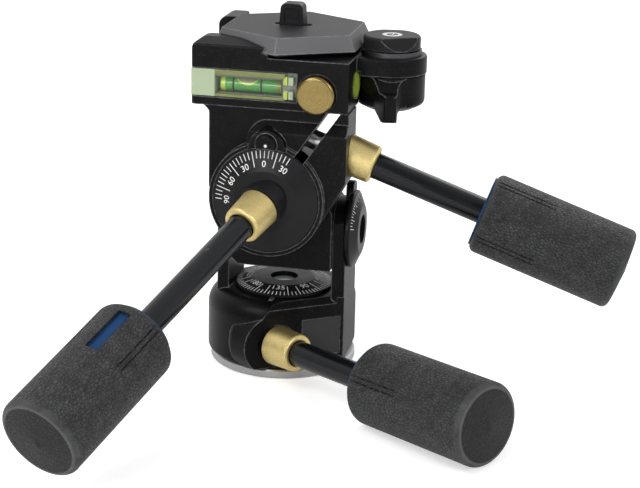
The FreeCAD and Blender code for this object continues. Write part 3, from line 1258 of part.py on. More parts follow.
def all_parts():
    parts = {
        "base_plate": base_plate(),
        "thread_bush": thread_bush(),
        "grub_screws": grub_screws(),
        "pan_spindle": pan_spindle(),
        "floor_washer": floor_washer(),
        "spindle_nut": spindle_nut(),
        "pan_scale": pan_scale(),
        "pan_level_cup": pan_level_cup(),
        "pan_level_vial": pan_level_vial(),
        "pan_housing": pan_housing(),
        "pan_brake_shoe": pan_brake_shoe(),
        "blank_plate": blank_plate(),
        "arm_bush_left": arm_bush(FORK_LEFT, SHAFT_LEFT + GAP),
        "arm_bush_right": arm_bush(FORK_RIGHT, RIGHT_OUTER),
        "tilt_block": tilt_block(),
        "cross_shaft": cross_shaft(),
        "left_cap": left_cap(),
        "right_cap": right_cap(),
        "cap_screw": cap_screw(),
        "trunnion": trunnion(),
        "side_washer": side_washer(),
        "rear_nut": rear_nut(),
        "rear_cap": rear_cap(),
        "front_dial": front_dial(),
        "dial_screws": dial_screws(),
        "upper_casting": upper_casting(),
        "index_dot": index_dot(),
        "platform_screws": platform_screws(),
        "platform": platform(),
        "level_block": level_block(),
        "level_liquid": level_liquid(),
        "level_bubble": level_bubble(),
        "side_level_cup": side_level_cup(),
        "side_level_vial": side_level_vial(),
        "safety_button": safety_button(),
        "button_spring": button_spring(),
        "camera_plate": camera_plate(),
        "screw_guide": screw_guide(),
        "camera_screw": camera_screw(),
        "screw_cap": screw_cap(),
        "release_lever": release_lever(),
        "release_cam": release_cam(),
        "cam_washer": cam_washer(),
        "pivot_screw": pivot_screw(),
    }
    for name in HANDLES:
        parts.update(handle_parts(name))
    return parts


os.makedirs("parts", exist_ok=True)
for node, shape in all_parts().items():
    assert shape.isValid(), node
    print(node, len(shape.Solids), round(shape.Volume))
    shape.exportStep("parts/" + node + ".step")
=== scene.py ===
"""Looks of a three way pan tilt head: castings, dials, levels, brass and rubber grips.

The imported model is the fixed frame. Each class below is one sub-assembly: its fields
are sizes in millimetres, and its methods build meshes and hand out finishes.
"""

import logging
import math
from dataclasses import dataclass, field
from enum import Enum
from typing import Dict, Iterable, List, Mapping, Optional, Protocol, Sequence, Tuple, Union

import bpy
import numpy as np
from mathutils import Matrix, Vector


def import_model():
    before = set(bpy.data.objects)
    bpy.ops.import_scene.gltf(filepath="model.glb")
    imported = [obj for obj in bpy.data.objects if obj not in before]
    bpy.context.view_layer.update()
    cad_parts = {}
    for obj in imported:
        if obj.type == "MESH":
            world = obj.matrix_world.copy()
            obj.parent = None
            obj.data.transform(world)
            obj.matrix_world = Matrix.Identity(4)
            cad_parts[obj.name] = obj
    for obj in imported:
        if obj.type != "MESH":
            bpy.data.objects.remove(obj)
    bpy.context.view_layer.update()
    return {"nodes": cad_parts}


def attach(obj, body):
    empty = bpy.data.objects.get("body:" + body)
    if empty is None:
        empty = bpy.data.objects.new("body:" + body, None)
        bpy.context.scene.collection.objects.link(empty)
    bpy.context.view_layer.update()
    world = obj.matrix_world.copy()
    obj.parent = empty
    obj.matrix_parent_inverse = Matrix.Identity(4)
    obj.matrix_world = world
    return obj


LOG = logging.getLogger("pan_tilt_head")
MM = 0.001
WHITE = (1.0, 1.0, 1.0)
Rgb = Tuple[float, float, float]
Point = Tuple[float, float, float]
Span = Tuple[float, float]
Socket = bpy.types.NodeSocket
Material = bpy.types.Material
Value = Union[Socket, float, Sequence[float]]
Faces = Union[np.ndarray, List[List[int]]]


class Body(str, Enum):
    """Rigid bodies that carry the pieces made here."""

    BASE = "base"
    TILT = "tilt_block_body"
    UPPER = "upper_head"


# --- Node graphs ---
class NodeGraph:
    """Short ways to add and join nodes in one node tree."""

    def __init__(self, tree: bpy.types.NodeTree) -> None:
        """Work on this tree."""
        self.tree = tree

    def add(self, kind: str, inputs: Optional[Mapping] = None, **settings) -> bpy.types.Node:
        """Add one node.

        Args:
            kind: Node type without its ShaderNode prefix.
            inputs: Socket name or index to a value or to another node's output.
            **settings: Attributes of the node.

        Returns:
            The new node.
        """
        node = self.tree.nodes.new("ShaderNode" + kind)
        for key, value in settings.items():
            setattr(node, key, value)
        for key, value in (inputs or {}).items():
            self.feed(node.inputs[key], value)
        return node

    def feed(self, socket: Socket, value: Value) -> None:
        """Join an output to a socket, or set the socket's own value.

        Args:
            socket: Input to feed.
            value: Output, number or vector; a colour of three numbers gets an alpha of one.
        """
        if isinstance(value, bpy.types.NodeSocket):
            self.tree.links.new(value, socket)
        elif socket.type == "RGBA" and len(value) == 3:
            socket.default_value = (*value, 1.0)
        else:
            socket.default_value = value

    def ramp(self, value: Socket, low: float, high: float,
             start: float = 0.0, end: float = 1.0) -> Socket:
        """Map a value from low..high to start..end, clamped."""
        inputs = {"Value": value, "From Min": low, "From Max": high, "To Min": start, "To Max": end}
        return self.add("MapRange", inputs).outputs["Result"]

    def math(self, operation: str, a: Value, b: Value = 0.0) -> Socket:
        """One arithmetic step."""
        return self.add("Math", {0: a, 1: b}, operation=operation).outputs[0]

    def times(self, a: Value, b: Value) -> Socket:
        """Product of two numbers."""
        return self.math("MULTIPLY", a, b)

    def parts(self, vector: Socket) -> Tuple[Socket, Socket, Socket]:
        """The three components of a vector."""
        outputs = self.add("SeparateXYZ", {0: vector}).outputs
        return outputs[0], outputs[1], outputs[2]


class ShaderGraph(NodeGraph):
    """Node tree of one material, built round its principled shader."""

    BEVEL_SAMPLES = 6
    EDGE_START, EDGE_FULL = 0.985, 0.87

    def __init__(self, name: str) -> None:
        """Start a material that holds one principled shader.

        Args:
            name: Material name.
        """
        self.material = bpy.data.materials.new(name)
        self.material.use_nodes = True
        super().__init__(self.material.node_tree)
        self.shader = self.tree.nodes["Principled BSDF"]

    def base(self, **values: Value) -> None:
        """Set sockets of the principled shader; an underscore stands for a space."""
        for key, value in values.items():
            self.feed(self.shader.inputs[key.replace("_", " ")], value)

    def coords(self, axis: Optional["Axis"] = None) -> Socket:
        """Object coordinates in millimetres, or those of a turned piece along its axis.

        Args:
            axis: Axis whose origin becomes zero and whose direction becomes Z.

        Returns:
            A vector output.
        """
        source = self.add("TexCoord").outputs["Object"]
        if axis is not None:
            back = axis.matrix().inverted()
            turn = back.to_3x3().normalized().to_euler("XYZ")
            inputs = {"Vector": source, "Rotation": turn, "Location": back.to_translation()}
            source = self.add("Mapping", inputs).outputs[0]
        return self.stretched(source, (1 / MM,) * 3)

    def stretched(self, vector: Socket, scale: Point) -> Socket:
        """A vector with each component multiplied by its scale."""
        return self.add("Mapping", {"Vector": vector, "Scale": scale}).outputs[0]

    def noise(self, vector: Socket, size: float, detail: float = 3.0, rough: float = 0.5) -> Socket:
        """Noise whose cells are size millimetres wide."""
        inputs = {"Vector": vector, "Scale": 1.0 / size, "Detail": detail, "Roughness": rough}
        return self.add("TexNoise", inputs).outputs["Fac"]

    def cells(self, vector: Socket, size: float) -> Socket:
        """Distance to the edges of Voronoi cells that are size millimetres wide."""
        inputs = {"Vector": vector, "Scale": 1.0 / size}
        return self.add("TexVoronoi", inputs, feature="DISTANCE_TO_EDGE").outputs["Distance"]

    def mix(self, factor: Value, a: Value, b: Value) -> Socket:
        """Mix two colours."""
        return self.add("Mix", {"Factor": factor, 6: a, 7: b}, data_type="RGBA").outputs[2]

    def reach(self, x: Socket, y: Socket) -> Socket:
        """Distance from the axis: the root of x squared plus y squared."""
        return self.math("SQRT", self.math("ADD", self.times(x, x), self.times(y, y)))

    def spread(self, value: Socket, start: float, end: float) -> Socket:
        """Map the middle of a noise, from 0.3 to 0.7, to start..end."""
        return self.ramp(value, 0.3, 0.7, start, end)

    def soft_edges(self, radius: float) -> Socket:
        """Shading normal that rounds the edges of a piece by radius millimetres."""
        return self.add("Bevel", {"Radius": radius * MM}, samples=self.BEVEL_SAMPLES).outputs[0]

    def bump(self, height: Socket, depth: float, normal: Optional[Socket] = None) -> Socket:
        """Relief laid over another normal.

        Args:
            height: Height of the relief, from 0 to 1.
            depth: Its depth in millimetres.
            normal: Normal under it, if it isn't the true one.

        Returns:
            The new normal.
        """
        inputs = {"Height": height, "Distance": depth * MM, "Strength": 1.0}
        if normal is not None:
            inputs["Normal"] = normal
        return self.add("Bump", inputs).outputs[0]

    def edge_mask(self, radius: float) -> Socket:
        """One along edges and zero on open faces; the powder coat lays its painted edge highlight
        by it.

        The mask is the angle between the true normal and the one that rounds the edges:
        it rises where their product falls from EDGE_START to EDGE_FULL.

        Args:
            radius: How far from an edge the painted highlight reaches, in millimetres.

        Returns:
            The mask.
        """
        inputs = {0: self.soft_edges(radius), 1: self.add("NewGeometry").outputs["Normal"]}
        product = self.add("VectorMath", inputs, operation="DOT_PRODUCT").outputs["Value"]
        return self.ramp(product, self.EDGE_START, self.EDGE_FULL)


@dataclass(frozen=True)
class Axis:
    """Line that a turned piece is built along.

    Attributes:
        origin: Point on the line, in millimetres.
        azimuth: Direction seen from above, in degrees from +X.
        rise: Direction's angle above the horizontal, in degrees.
    """

    origin: Point
    azimuth: float = 0.0
    rise: float = 90.0

    def direction(self) -> Vector:
        """Unit vector along the line."""
        a, e = math.radians(self.azimuth), math.radians(self.rise)
        return Vector((math.cos(a) * math.cos(e), math.sin(a) * math.cos(e), math.sin(e)))

    def matrix(self) -> Matrix:
        """Placement in metres whose Z is the line and whose X leans towards up.

        Returns:
            A matrix of four by four.
        """
        along = self.direction()
        guide = Vector((0, 0, 1)) if abs(along.z) < 0.99 else Vector((1, 0, 0))
        across = (guide - along * guide.dot(along)).normalized()
        third = along.cross(across)
        turn = Matrix((across, third, along)).transposed().to_4x4()
        return Matrix.Translation(Vector(self.origin) * MM) @ turn

    def place(self, points: np.ndarray) -> np.ndarray:
        """Carry points given in millimetres along the line to metres in the row frame."""
        m = np.array(self.matrix())
        return points * MM @ m[:3, :3].T + m[:3, 3]


# --- Finishes ---
class Finish(Protocol):
    """Anything that can make a material.

    Fields that the finishes share: name is the material's, color the main colour,
    roughness the middle of the gloss, gloss the strength of the reflection, depth that
    of the relief, and edge the radius that the edges are rounded by. A field named for
    a pattern is its width in millimetres.
    """

    def material(self) -> Material:
        """Build the node material."""


@dataclass(frozen=True)
class PowderCoat:
    """Satin black powder coat: fine stipple, light specks, a painted highlight along the edges and,
    where a slope colour is given, a painted sheen on faces that slope upwards.

    Attributes:
        worn, line, slope: Colour of specks, of the painted highlight along edges, and of the
            painted sheen on faces that slope upwards.
        reach: How far the painted edge highlight reaches from an edge, as a multiple of its
            rounding.
    """

    name: str
    color: Rgb = (0.0030, 0.0031, 0.0034)
    worn: Rgb = (0.060, 0.061, 0.064)
    line: Rgb = (0.26, 0.26, 0.27)
    slope: Optional[Rgb] = None
    roughness: float = 0.33
    stipple: float = 0.6
    depth: float = 0.020
    edge: float = 0.7
    gloss: float = 0.10
    cloud: float = 9.0
    speck: float = 0.8
    chip: float = 2.6
    reach: float = 1.5

    def material(self) -> Material:
        """Build the node material.

        Returns:
            The material.
        """
        g = ShaderGraph(self.name)
        at = g.coords()
        grain = g.noise(at, self.stipple, 2.0, 0.6)
        clouds = g.ramp(g.noise(at, self.cloud, 3.0, 0.55), 0.35, 0.7, 0.0, 0.04)
        specks = g.ramp(g.noise(at, self.speck, 1.0), 0.60, 0.72, 0.0, 0.16)
        highlight_breakup = g.ramp(g.noise(at, self.chip, 3.0, 0.65), 0.35, 0.65, 0.25, 1.0)
        shade = g.mix(specks, g.mix(clouds, self.color, self.worn), self.worn)
        # Painted sheen: faces that slope upwards get a lighter colour.
        if self.slope is not None:
            shade = g.mix(self.slopes(g), shade, self.slope)
        # Painted highlight: a pale colour laid along the edges and broken up by noise.
        edge_highlight_mask = g.times(g.edge_mask(self.edge * self.reach), highlight_breakup)
        g.base(Base_Color=g.mix(edge_highlight_mask, shade, self.line), Specular_IOR_Level=self.gloss)
        g.base(Roughness=g.spread(grain, self.roughness - 0.05, self.roughness + 0.08))
        g.base(Normal=g.bump(grain, self.depth, g.soft_edges(self.edge)))
        return g.material

    def slopes(self, g: ShaderGraph) -> Socket:
        """One on faces that slope upwards, where the slope colour paints a sheen, zero on flat
        ones.
        """
        _, _, up = g.parts(g.add("TexCoord").outputs["Normal"])
        return g.times(g.ramp(up, 0.97, 0.93), g.ramp(up, 0.05, 0.2))


@dataclass(frozen=True)
class MouldedPlastic:
    """Plain moulded or printed surface with a faint cloudiness.

    Attributes:
        texture, grain: Depth and width of its fine texture.
        lift: How much brighter than the main colour its clouds are.
    """

    name: str
    color: Rgb
    roughness: float = 0.5
    texture: float = 0.004
    grain: float = 0.4
    edge: float = 0.35
    gloss: float = 0.4
    cloud: float = 6.0
    lift: float = 1.35

    def material(self) -> Material:
        """Build the node material.

        Returns:
            The material.
        """
        g = ShaderGraph(self.name)
        at = g.coords()
        cloud = g.noise(at, self.cloud, 3.0, 0.6)
        lighter = tuple(min(1.0, c * self.lift) for c in self.color)
        g.base(Base_Color=g.mix(cloud, self.color, lighter), Specular_IOR_Level=self.gloss)
        g.base(Roughness=g.spread(cloud, self.roughness - 0.04, self.roughness + 0.06))
        fine = g.noise(at, self.grain, 2.0)
        g.base(Normal=g.bump(fine, self.texture, g.soft_edges(self.edge)))
        return g.material


@dataclass(frozen=True)
class TurnedMetal:
    """Metal turned on a lathe: fine rings about its axis, on sides and ends alike."""

    name: str
    color: Rgb
    axis: Axis
    roughness: float
    ring: float
    depth: float
    tarnish: Rgb
    tarnish_share: float = 0.25
    cloud: float = 5.0
    edge: float = 0.35

    def material(self) -> Material:
        """Rings follow the sum of height and radius, so they also run across the end faces.

        Returns:
            The material.
        """
        g = ShaderGraph(self.name)
        at = g.coords(self.axis)
        x, y, z = g.parts(at)
        inputs = {"W": g.math("ADD", z, g.reach(x, y)), "Scale": 1.0 / self.ring, "Detail": 3.0}
        rings = g.add("TexNoise", inputs, noise_dimensions="1D").outputs["Fac"]
        stain = g.ramp(g.noise(at, self.cloud, 3.0, 0.6), 0.45, 0.8, 0.0, self.tarnish_share)
        g.base(Base_Color=g.mix(stain, self.color, self.tarnish), Metallic=1.0)
        g.base(Roughness=g.spread(rings, self.roughness - 0.06, self.roughness + 0.1))
        g.base(Normal=g.bump(rings, self.depth, g.soft_edges(self.edge)))
        return g.material


@dataclass(frozen=True)
class BlastedMetal:
    """Metal blasted with fine grit: a matt surface with dark pits and stains."""

    name: str
    color: Rgb
    dark: Rgb
    roughness: float = 0.46
    grit: float = 0.45
    depth: float = 0.02
    stain: float = 4.0
    edge: float = 0.5

    def material(self) -> Material:
        """Build the node material.

        Returns:
            The material.
        """
        g = ShaderGraph(self.name)
        at = g.coords()
        grit = g.noise(at, self.grit, 2.0, 0.7)
        pits = g.ramp(grit, 0.36, 0.62, 0.75, 0.0)
        stains = g.ramp(g.noise(at, self.stain, 3.0, 0.6), 0.45, 0.8, 0.0, 0.35)
        shade = g.mix(stains, g.mix(pits, self.color, self.dark), self.dark)
        g.base(Base_Color=shade, Metallic=1.0)
        g.base(Roughness=g.spread(grit, self.roughness + 0.08, self.roughness - 0.05))
        g.base(Normal=g.bump(grit, self.depth, g.soft_edges(self.edge)))
        return g.material


@dataclass(frozen=True)
class GrainedRubber:
    """Moulded rubber with a leather-like grain on its side and smoother ends.

    Attributes:
        start, length: Height along the axis where the grip starts, and its length.
        color, light: Darker and lighter clouds of the side.
        rim, face: Painted highlight ring round the far end, and the flat inside it.
        radius, edge: Radius of the grip, and of its rounded far end.
        fold: How many times wider than a pebble the folds are.
        pull: Scale along the axis, under one for pebbles that are longer than wide.
    """

    name: str
    axis: Axis
    start: float
    length: float
    color: Rgb = (0.024, 0.0243, 0.025)
    light: Rgb = (0.072, 0.073, 0.075)
    # Colour of the painted shade in the creases between pebbles.
    groove: Rgb = (0.008, 0.008, 0.009)
    rim: Rgb = (0.12, 0.12, 0.125)
    face: Rgb = (0.008, 0.008, 0.0085)
    radius: float = 20.5
    edge: float = 3.0
    cell: float = 1.3
    fold: float = 2.7
    pull: float = 0.62
    depth: float = 0.5
    fine: float = 0.5
    cloud: float = 7.0
    gloss: float = 0.28

    def grain(self, g: ShaderGraph, at: Socket) -> Tuple[Socket, Socket]:
        """Pebbles are Voronoi cells pulled about by noise, with wider folds between them.

        Args:
            g: Graph of the material.
            at: Coordinates along the grip.

        Returns:
            The pebbles, zero in their grooves, and the height of the whole relief.
        """
        warp = g.add("TexNoise", {"Vector": at, "Scale": 0.35, "Detail": 2.0}).outputs["Color"]
        moved = g.add("VectorMath", {0: at, 1: warp}, operation="ADD").outputs[0]
        moved = g.stretched(moved, (1.0, 1.0, self.pull))
        pebble = g.ramp(g.cells(moved, self.cell), 0.0, 0.35)
        folds = g.ramp(g.cells(moved, self.cell * self.fold), 0.0, 0.12, 0.0, 0.6)
        height = g.math("ADD", pebble, folds)
        fine = g.times(g.noise(at, self.fine, 2.0), 0.35)
        return pebble, g.math("ADD", height, fine)

    def zones(self, g: ShaderGraph, at: Socket) -> Tuple[Socket, Socket, Socket]:
        """Masks from the height along the grip and the distance from its axis.

        Args:
            g: Graph of the material.
            at: Coordinates along the grip.

        Returns:
            The grained side, the painted highlight ring round the far end, and the flat inside it.
        """
        x, y, z = g.parts(at)
        radius = g.reach(x, y)
        shoulder = self.start + self.length - self.edge
        inner = self.radius - self.edge
        near = g.ramp(z, self.start + 0.5, self.start + 3.0)
        side = g.times(near, g.ramp(z, shoulder - 0.6, shoulder - 2.5))
        tip = g.ramp(z, shoulder - 1.6, shoulder - 0.6)
        ring = g.times(tip, g.ramp(radius, inner - 0.3, inner + 0.3, 0.0, 0.7))
        ring = g.times(ring, g.ramp(radius, inner + 1.9, inner + 0.5))
        flat = g.times(tip, g.ramp(radius, inner + 0.6, inner - 0.2))
        return side, ring, flat

    def material(self) -> Material:
        """Lay painted shade in the grooves, a painted highlight ring and the flat over clouds of
        two tones; the grain fades at both ends.

        Returns:
            The material.
        """
        g = ShaderGraph(self.name)
        at = g.coords(self.axis)
        pebble, height = self.grain(g, at)
        side, ring, flat = self.zones(g, at)
        height = g.times(height, g.ramp(side, 0.0, 1.0, 0.22, 1.0))
        # Painted shade: the creases between the pebbles are darkened.
        groove = g.times(g.ramp(pebble, 0.0, 0.5, 1.0, 0.0), side)
        clouds = g.ramp(g.noise(at, self.cloud, 4.0, 0.6), 0.3, 0.75)
        shade = g.mix(clouds, self.color, self.light)
        shade = g.mix(g.times(groove, 0.85), shade, self.groove)
        # Painted highlight ring round the far end, and the flat inside it.
        shade = g.mix(flat, g.mix(ring, shade, self.rim), self.face)
        g.base(Base_Color=shade, Specular_IOR_Level=self.gloss)
        g.base(Roughness=g.ramp(pebble, 0.0, 1.0, 0.60, 0.40))
        g.base(Normal=g.bump(height, self.depth, g.soft_edges(0.5)))
        return g.material


@dataclass(frozen=True)
class GlossPaint:
    """Black gloss paint on a steel rod, with streaks stretched along its axis that vary its
    roughness and relief and carry a painted sheen.
    """

    name: str
    axis: Axis
    color: Rgb = (0.0030, 0.0034, 0.0045)
    roughness: float = 0.22
    streak: float = 0.9
    stretch: float = 40.0
    lift: float = 2.2
    depth: float = 0.006
    gloss: float = 0.3

    def material(self) -> Material:
        """Mix the paint with one that is lift times as bright, by the streaks, as a painted sheen
        along the rod.

        Returns:
            The material.
        """
        g = ShaderGraph(self.name)
        along = g.stretched(g.coords(self.axis), (1.0, 1.0, 1 / self.stretch))
        streak = g.noise(along, self.streak, 2.0)
        lighter = tuple(c * self.lift for c in self.color)
        # Painted sheen: the lighter colour follows the streaks along the rod.
        g.base(Base_Color=g.mix(streak, self.color, lighter), Specular_IOR_Level=self.gloss)
        g.base(Roughness=g.spread(streak, self.roughness - 0.05, self.roughness + 0.1))
        g.base(Normal=g.bump(streak, self.depth))
        return g.material


@dataclass(frozen=True)
class PlainMetal:
    """Machined or plated metal with a light scatter in its gloss."""

    name: str
    color: Rgb
    roughness: float
    edge: float = 0.2
    scuff: float = 1.5
    depth: float = 0.003
    shade: float = 0.8

    def material(self) -> Material:
        """Build the node material.

        Returns:
            The material.
        """
        g = ShaderGraph(self.name)
        scuff = g.noise(g.coords(), self.scuff, 4.0, 0.7)
        darker = tuple(c * self.shade for c in self.color)
        g.base(Base_Color=g.mix(scuff, self.color, darker), Metallic=1.0)
        g.base(Roughness=g.spread(scuff, self.roughness - 0.06, self.roughness + 0.12))
        g.base(Normal=g.bump(scuff, self.depth, g.soft_edges(self.edge)))
        return g.material


@dataclass(frozen=True)
class ClearStock:
    """Clear or tinted acrylic and the liquids behind it.

    Attributes:
        cover: Share of what stands behind that it hides.
        wave, ripple: Depth and width of the waves in its face.
        glow: Strength of an emission that paints light shining out from inside; the part is no
            lamp.
    """

    name: str
    color: Rgb
    cover: float = 1.0
    roughness: float = 0.2
    wave: float = 0.004
    ripple: float = 2.5
    glow: float = 0.0

    def material(self) -> Material:
        """Build the node material.

        Returns:
            The material.
        """
        g = ShaderGraph(self.name)
        g.base(Base_Color=self.color, Roughness=self.roughness, Alpha=self.cover)
        # Painted glow: the emission makes the part shine though it is no lamp.
        if self.glow > 0:
            g.base(Emission_Color=self.color, Emission_Strength=self.glow)
        g.base(Normal=g.bump(g.noise(g.coords(), self.ripple, 2.0), self.wave))
        return g.material


# --- Meshes ---
def linked(name: str, data: bpy.types.ID) -> bpy.types.Object:
    """New object in the scene that shows this data.

    Args:
        name: Object name.
        data: Mesh, curve, lamp or camera.

    Returns:
        The object.
    """
    obj = bpy.data.objects.new(name, data)
    bpy.context.scene.collection.objects.link(obj)
    return obj


class MeshShop:
    """Turns arrays of points into pieces that ride on a body."""

    BLOCK = ((3, 2, 1, 0), (4, 5, 6, 7), (0, 1, 5, 4), (1, 2, 6, 5), (2, 3, 7, 6), (3, 0, 4, 7))

    @staticmethod
    def piece(name: str, points: np.ndarray, faces: Faces, material: Material,
              body: Body, slot: str, smooth: bool = False) -> None:
        """Make one piece from finished arrays, with its object at the origin.

        Args:
            name: Piece name.
            points: (n, 3) array in metres.
            faces: Index lists or an (m, k) array.
            material: Finish.
            body: Body that carries the piece.
            slot: Not used.
            smooth: Whether faces are shaded smooth.
        """
        mesh = bpy.data.meshes.new(name)
        rows = faces.tolist() if isinstance(faces, np.ndarray) else faces
        mesh.from_pydata(points.reshape(-1, 3).tolist(), [], rows)
        mesh.polygons.foreach_set("use_smooth", np.full(len(mesh.polygons), smooth))
        mesh.update()
        mesh.materials.append(material)
        obj = linked(name, mesh)
        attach(obj, body.value)
        LOG.info("piece %s on %s: %d faces", name, body.value, len(mesh.polygons))

    @staticmethod
    def boxes(corners: np.ndarray) -> Tuple[np.ndarray, np.ndarray]:
        """Faces for many six-sided blocks.

        Args:
            corners: (n, 8, 3) array, four points of the foot and then four of the top,
                each counter-clockwise seen from outside the top.

        Returns:
            Points and a (6n, 4) array of faces that point outwards.
        """
        first = 8 * np.arange(corners.shape[0])[:, None, None]
        faces = (np.array(MeshShop.BLOCK)[None] + first).reshape(-1, 4)
        return corners.reshape(-1, 3), faces

    @staticmethod
    def cylinder(radius: float, length: float, steps: int, axis: Axis) -> Tuple[np.ndarray, List]:
        """Closed cylinder: a circle carried along its axis, with a fan of faces over each end.

        Args:
            radius: Radius in millimetres.
            length: Length in millimetres, from the axis's origin.
            steps: Number of facets round the axis.
            axis: Axis of the cylinder.

        Returns:
            Points in metres and faces that point outwards.
        """
        angle = np.linspace(0, 2 * np.pi, steps, endpoint=False)
        foot = np.stack([radius * np.cos(angle), radius * np.sin(angle), 0 * angle], axis=1)
        far = np.array([[0.0, 0.0, length]])
        points = np.concatenate([foot, foot + far, 0 * far, far])
        here = np.arange(steps)
        after = (here + 1) % steps
        middle = np.full(steps, 2 * steps)
        side = np.stack([here, after, steps + after, steps + here], axis=1).tolist()
        near_end = np.stack([middle, after, here], axis=1).tolist()
        far_end = np.stack([middle + 1, steps + here, steps + after], axis=1).tolist()
        return axis.place(points), side + near_end + far_end

    @staticmethod
    def lettering(text: str, size: float) -> Tuple[np.ndarray, List[List[int]]]:
        """Flat outline of a short number, centred, in millimetres.

        Args:
            text: Digits.
            size: Font size in millimetres.

        Returns:
            (n, 2) points and faces.
        """
        curve = bpy.data.curves.new("number", "FONT")
        curve.body, curve.size = text, size
        curve.align_x, curve.align_y = "CENTER", "CENTER"
        curve.resolution_u = 3
        holder = linked("number", curve)
        bpy.context.view_layer.update()
        mesh = bpy.data.meshes.new_from_object(holder)
        flat = np.zeros(len(mesh.vertices) * 3)
        mesh.vertices.foreach_get("co", flat)
        faces = [list(p.vertices) for p in mesh.polygons]
        bpy.data.objects.remove(holder)
        bpy.data.curves.remove(curve)
        bpy.data.meshes.remove(mesh)
        return flat.reshape(-1, 3)[:, :2], faces


@dataclass(frozen=True)
class DegreeScale:
    """Printed marks on a cone: fine strokes and numbers, a hair above the surface.

    A point at radius r and angle a stands at (r cos a, r sin a, h(r)) about the axis,
    where h runs in a straight line from the outer edge to the inner one.

    Attributes:
        name: Start of the pieces' names.
        body, axis: Body that carries the cone, and its axis.
        outer, inner: Radius and height of the cone's outer and inner edge.
        marks, long_marks: Angles of all strokes, and of the long ones among them.
        stroke, width: Radii where strokes start and where short and long ones end; width.
        zero: Angle of the scale's zero about the axis, in degrees.
        sense: 1 or -1, the turning sense in which the marks are listed.
        labels: Angle to number.
        label_radius, label_size: Radius of the numbers' centres, and height of the type.
        inward: Whether the tops of the numbers point to the axis.
        proud: How far the marks stand above the cone.
    """

    name: str
    body: Body
    axis: Axis
    outer: Span
    inner: Span
    marks: Sequence[int]
    long_marks: Sequence[int]
    stroke: Tuple[float, float, float]
    width: float
    zero: float = 0.0
    sense: int = 1
    labels: Mapping[int, str] = field(default_factory=dict)
    label_radius: float = 0.0
    label_size: float = 0.0
    inward: bool = False
    proud: float = 0.05

    def height(self, radius: np.ndarray) -> np.ndarray:
        """Height of the cone's surface at a radius."""
        (r0, h0), (r1, h1) = self.outer, self.inner
        return h0 + (h1 - h0) * (r0 - radius) / (r0 - r1)

    def strokes(self) -> Tuple[np.ndarray, np.ndarray]:
        """Blocks along the cone's straight lines: a ring of four corners, sunk and raised.

        Returns:
            Points along the axis in millimetres, and faces.
        """
        angles = np.array(self.marks)
        start, short_end, long_end = self.stroke
        end = np.where(np.isin(angles, self.long_marks), long_end, short_end)
        a = np.radians(self.zero + self.sense * angles)[:, None]
        half = self.width / 2
        begin = np.full_like(end, start)
        radial = np.stack([begin, begin, end, end], axis=1)
        across = np.array([-half, half, half, -half])
        x = radial * np.cos(a) - across * np.sin(a)
        y = radial * np.sin(a) + across * np.cos(a)
        z = self.height(radial)
        foot = np.stack([x, y, z - self.proud], axis=-1)
        top = np.stack([x, y, z + self.proud], axis=-1)
        return MeshShop.boxes(np.concatenate([foot, top], axis=1))

    def numbers(self) -> Tuple[np.ndarray, List[List[int]]]:
        """Numbers wrapped round the cone: across becomes angle, up becomes radius.

        Returns:
            Points along the axis in millimetres, and faces.
        """
        points, faces, count = [], [], 0
        flip = -1.0 if self.inward else 1.0
        for angle, text in self.labels.items():
            flat, rows = MeshShop.lettering(text, self.label_size)
            radius = self.label_radius + flip * flat[:, 1]
            turn = np.radians(self.zero + self.sense * angle)
            a = turn - flip * flat[:, 0] / self.label_radius
            z = self.height(radius) + self.proud
            points.append(np.stack([radius * np.cos(a), radius * np.sin(a), z], axis=1))
            faces += [[i + count for i in row] for row in rows]
            count += len(flat)
        return np.concatenate(points), faces

    def build(self, ink: Material) -> None:
        """Make the strokes, and the numbers where there are some, as pieces in this ink.

        Args:
            ink: Material of the marks.
        """
        shapes = {"_strokes": self.strokes()}
        if self.labels:
            shapes["_numbers"] = self.numbers()
        for ending, (points, faces) in shapes.items():
            placed = self.axis.place(points)
            MeshShop.piece(self.name + ending, placed, faces, ink, self.body, "white_mark")


# --- Sub-assemblies ---
@dataclass
class Dresser:
    """Gives carried-over nodes their finishes."""

    nodes: Mapping[str, bpy.types.Object]
    done: Dict[str, str] = field(default_factory=dict)

    def dress(self, names: Iterable[str], material: Material) -> None:
        """Put one material on several nodes.

        Args:
            names: Nodes.
            material: Material for all of them.
        """
        for name in names:
            obj = self.nodes[name]
            obj.data.materials.clear()
            obj.data.materials.append(material)
            self.done[name] = material.name

    def dress_rows(self, rows: Iterable[Tuple[Finish, Tuple[str, ...]]]) -> None:
        """Put the finish of each row on that row's nodes."""
        for finish, names in rows:
            self.dress(names, finish.material())

    def check(self) -> None:
        """Report nodes that still have the plain finish."""
        for name in sorted(set(self.nodes) - set(self.done)):
            LOG.warning("no finish for %s", name)


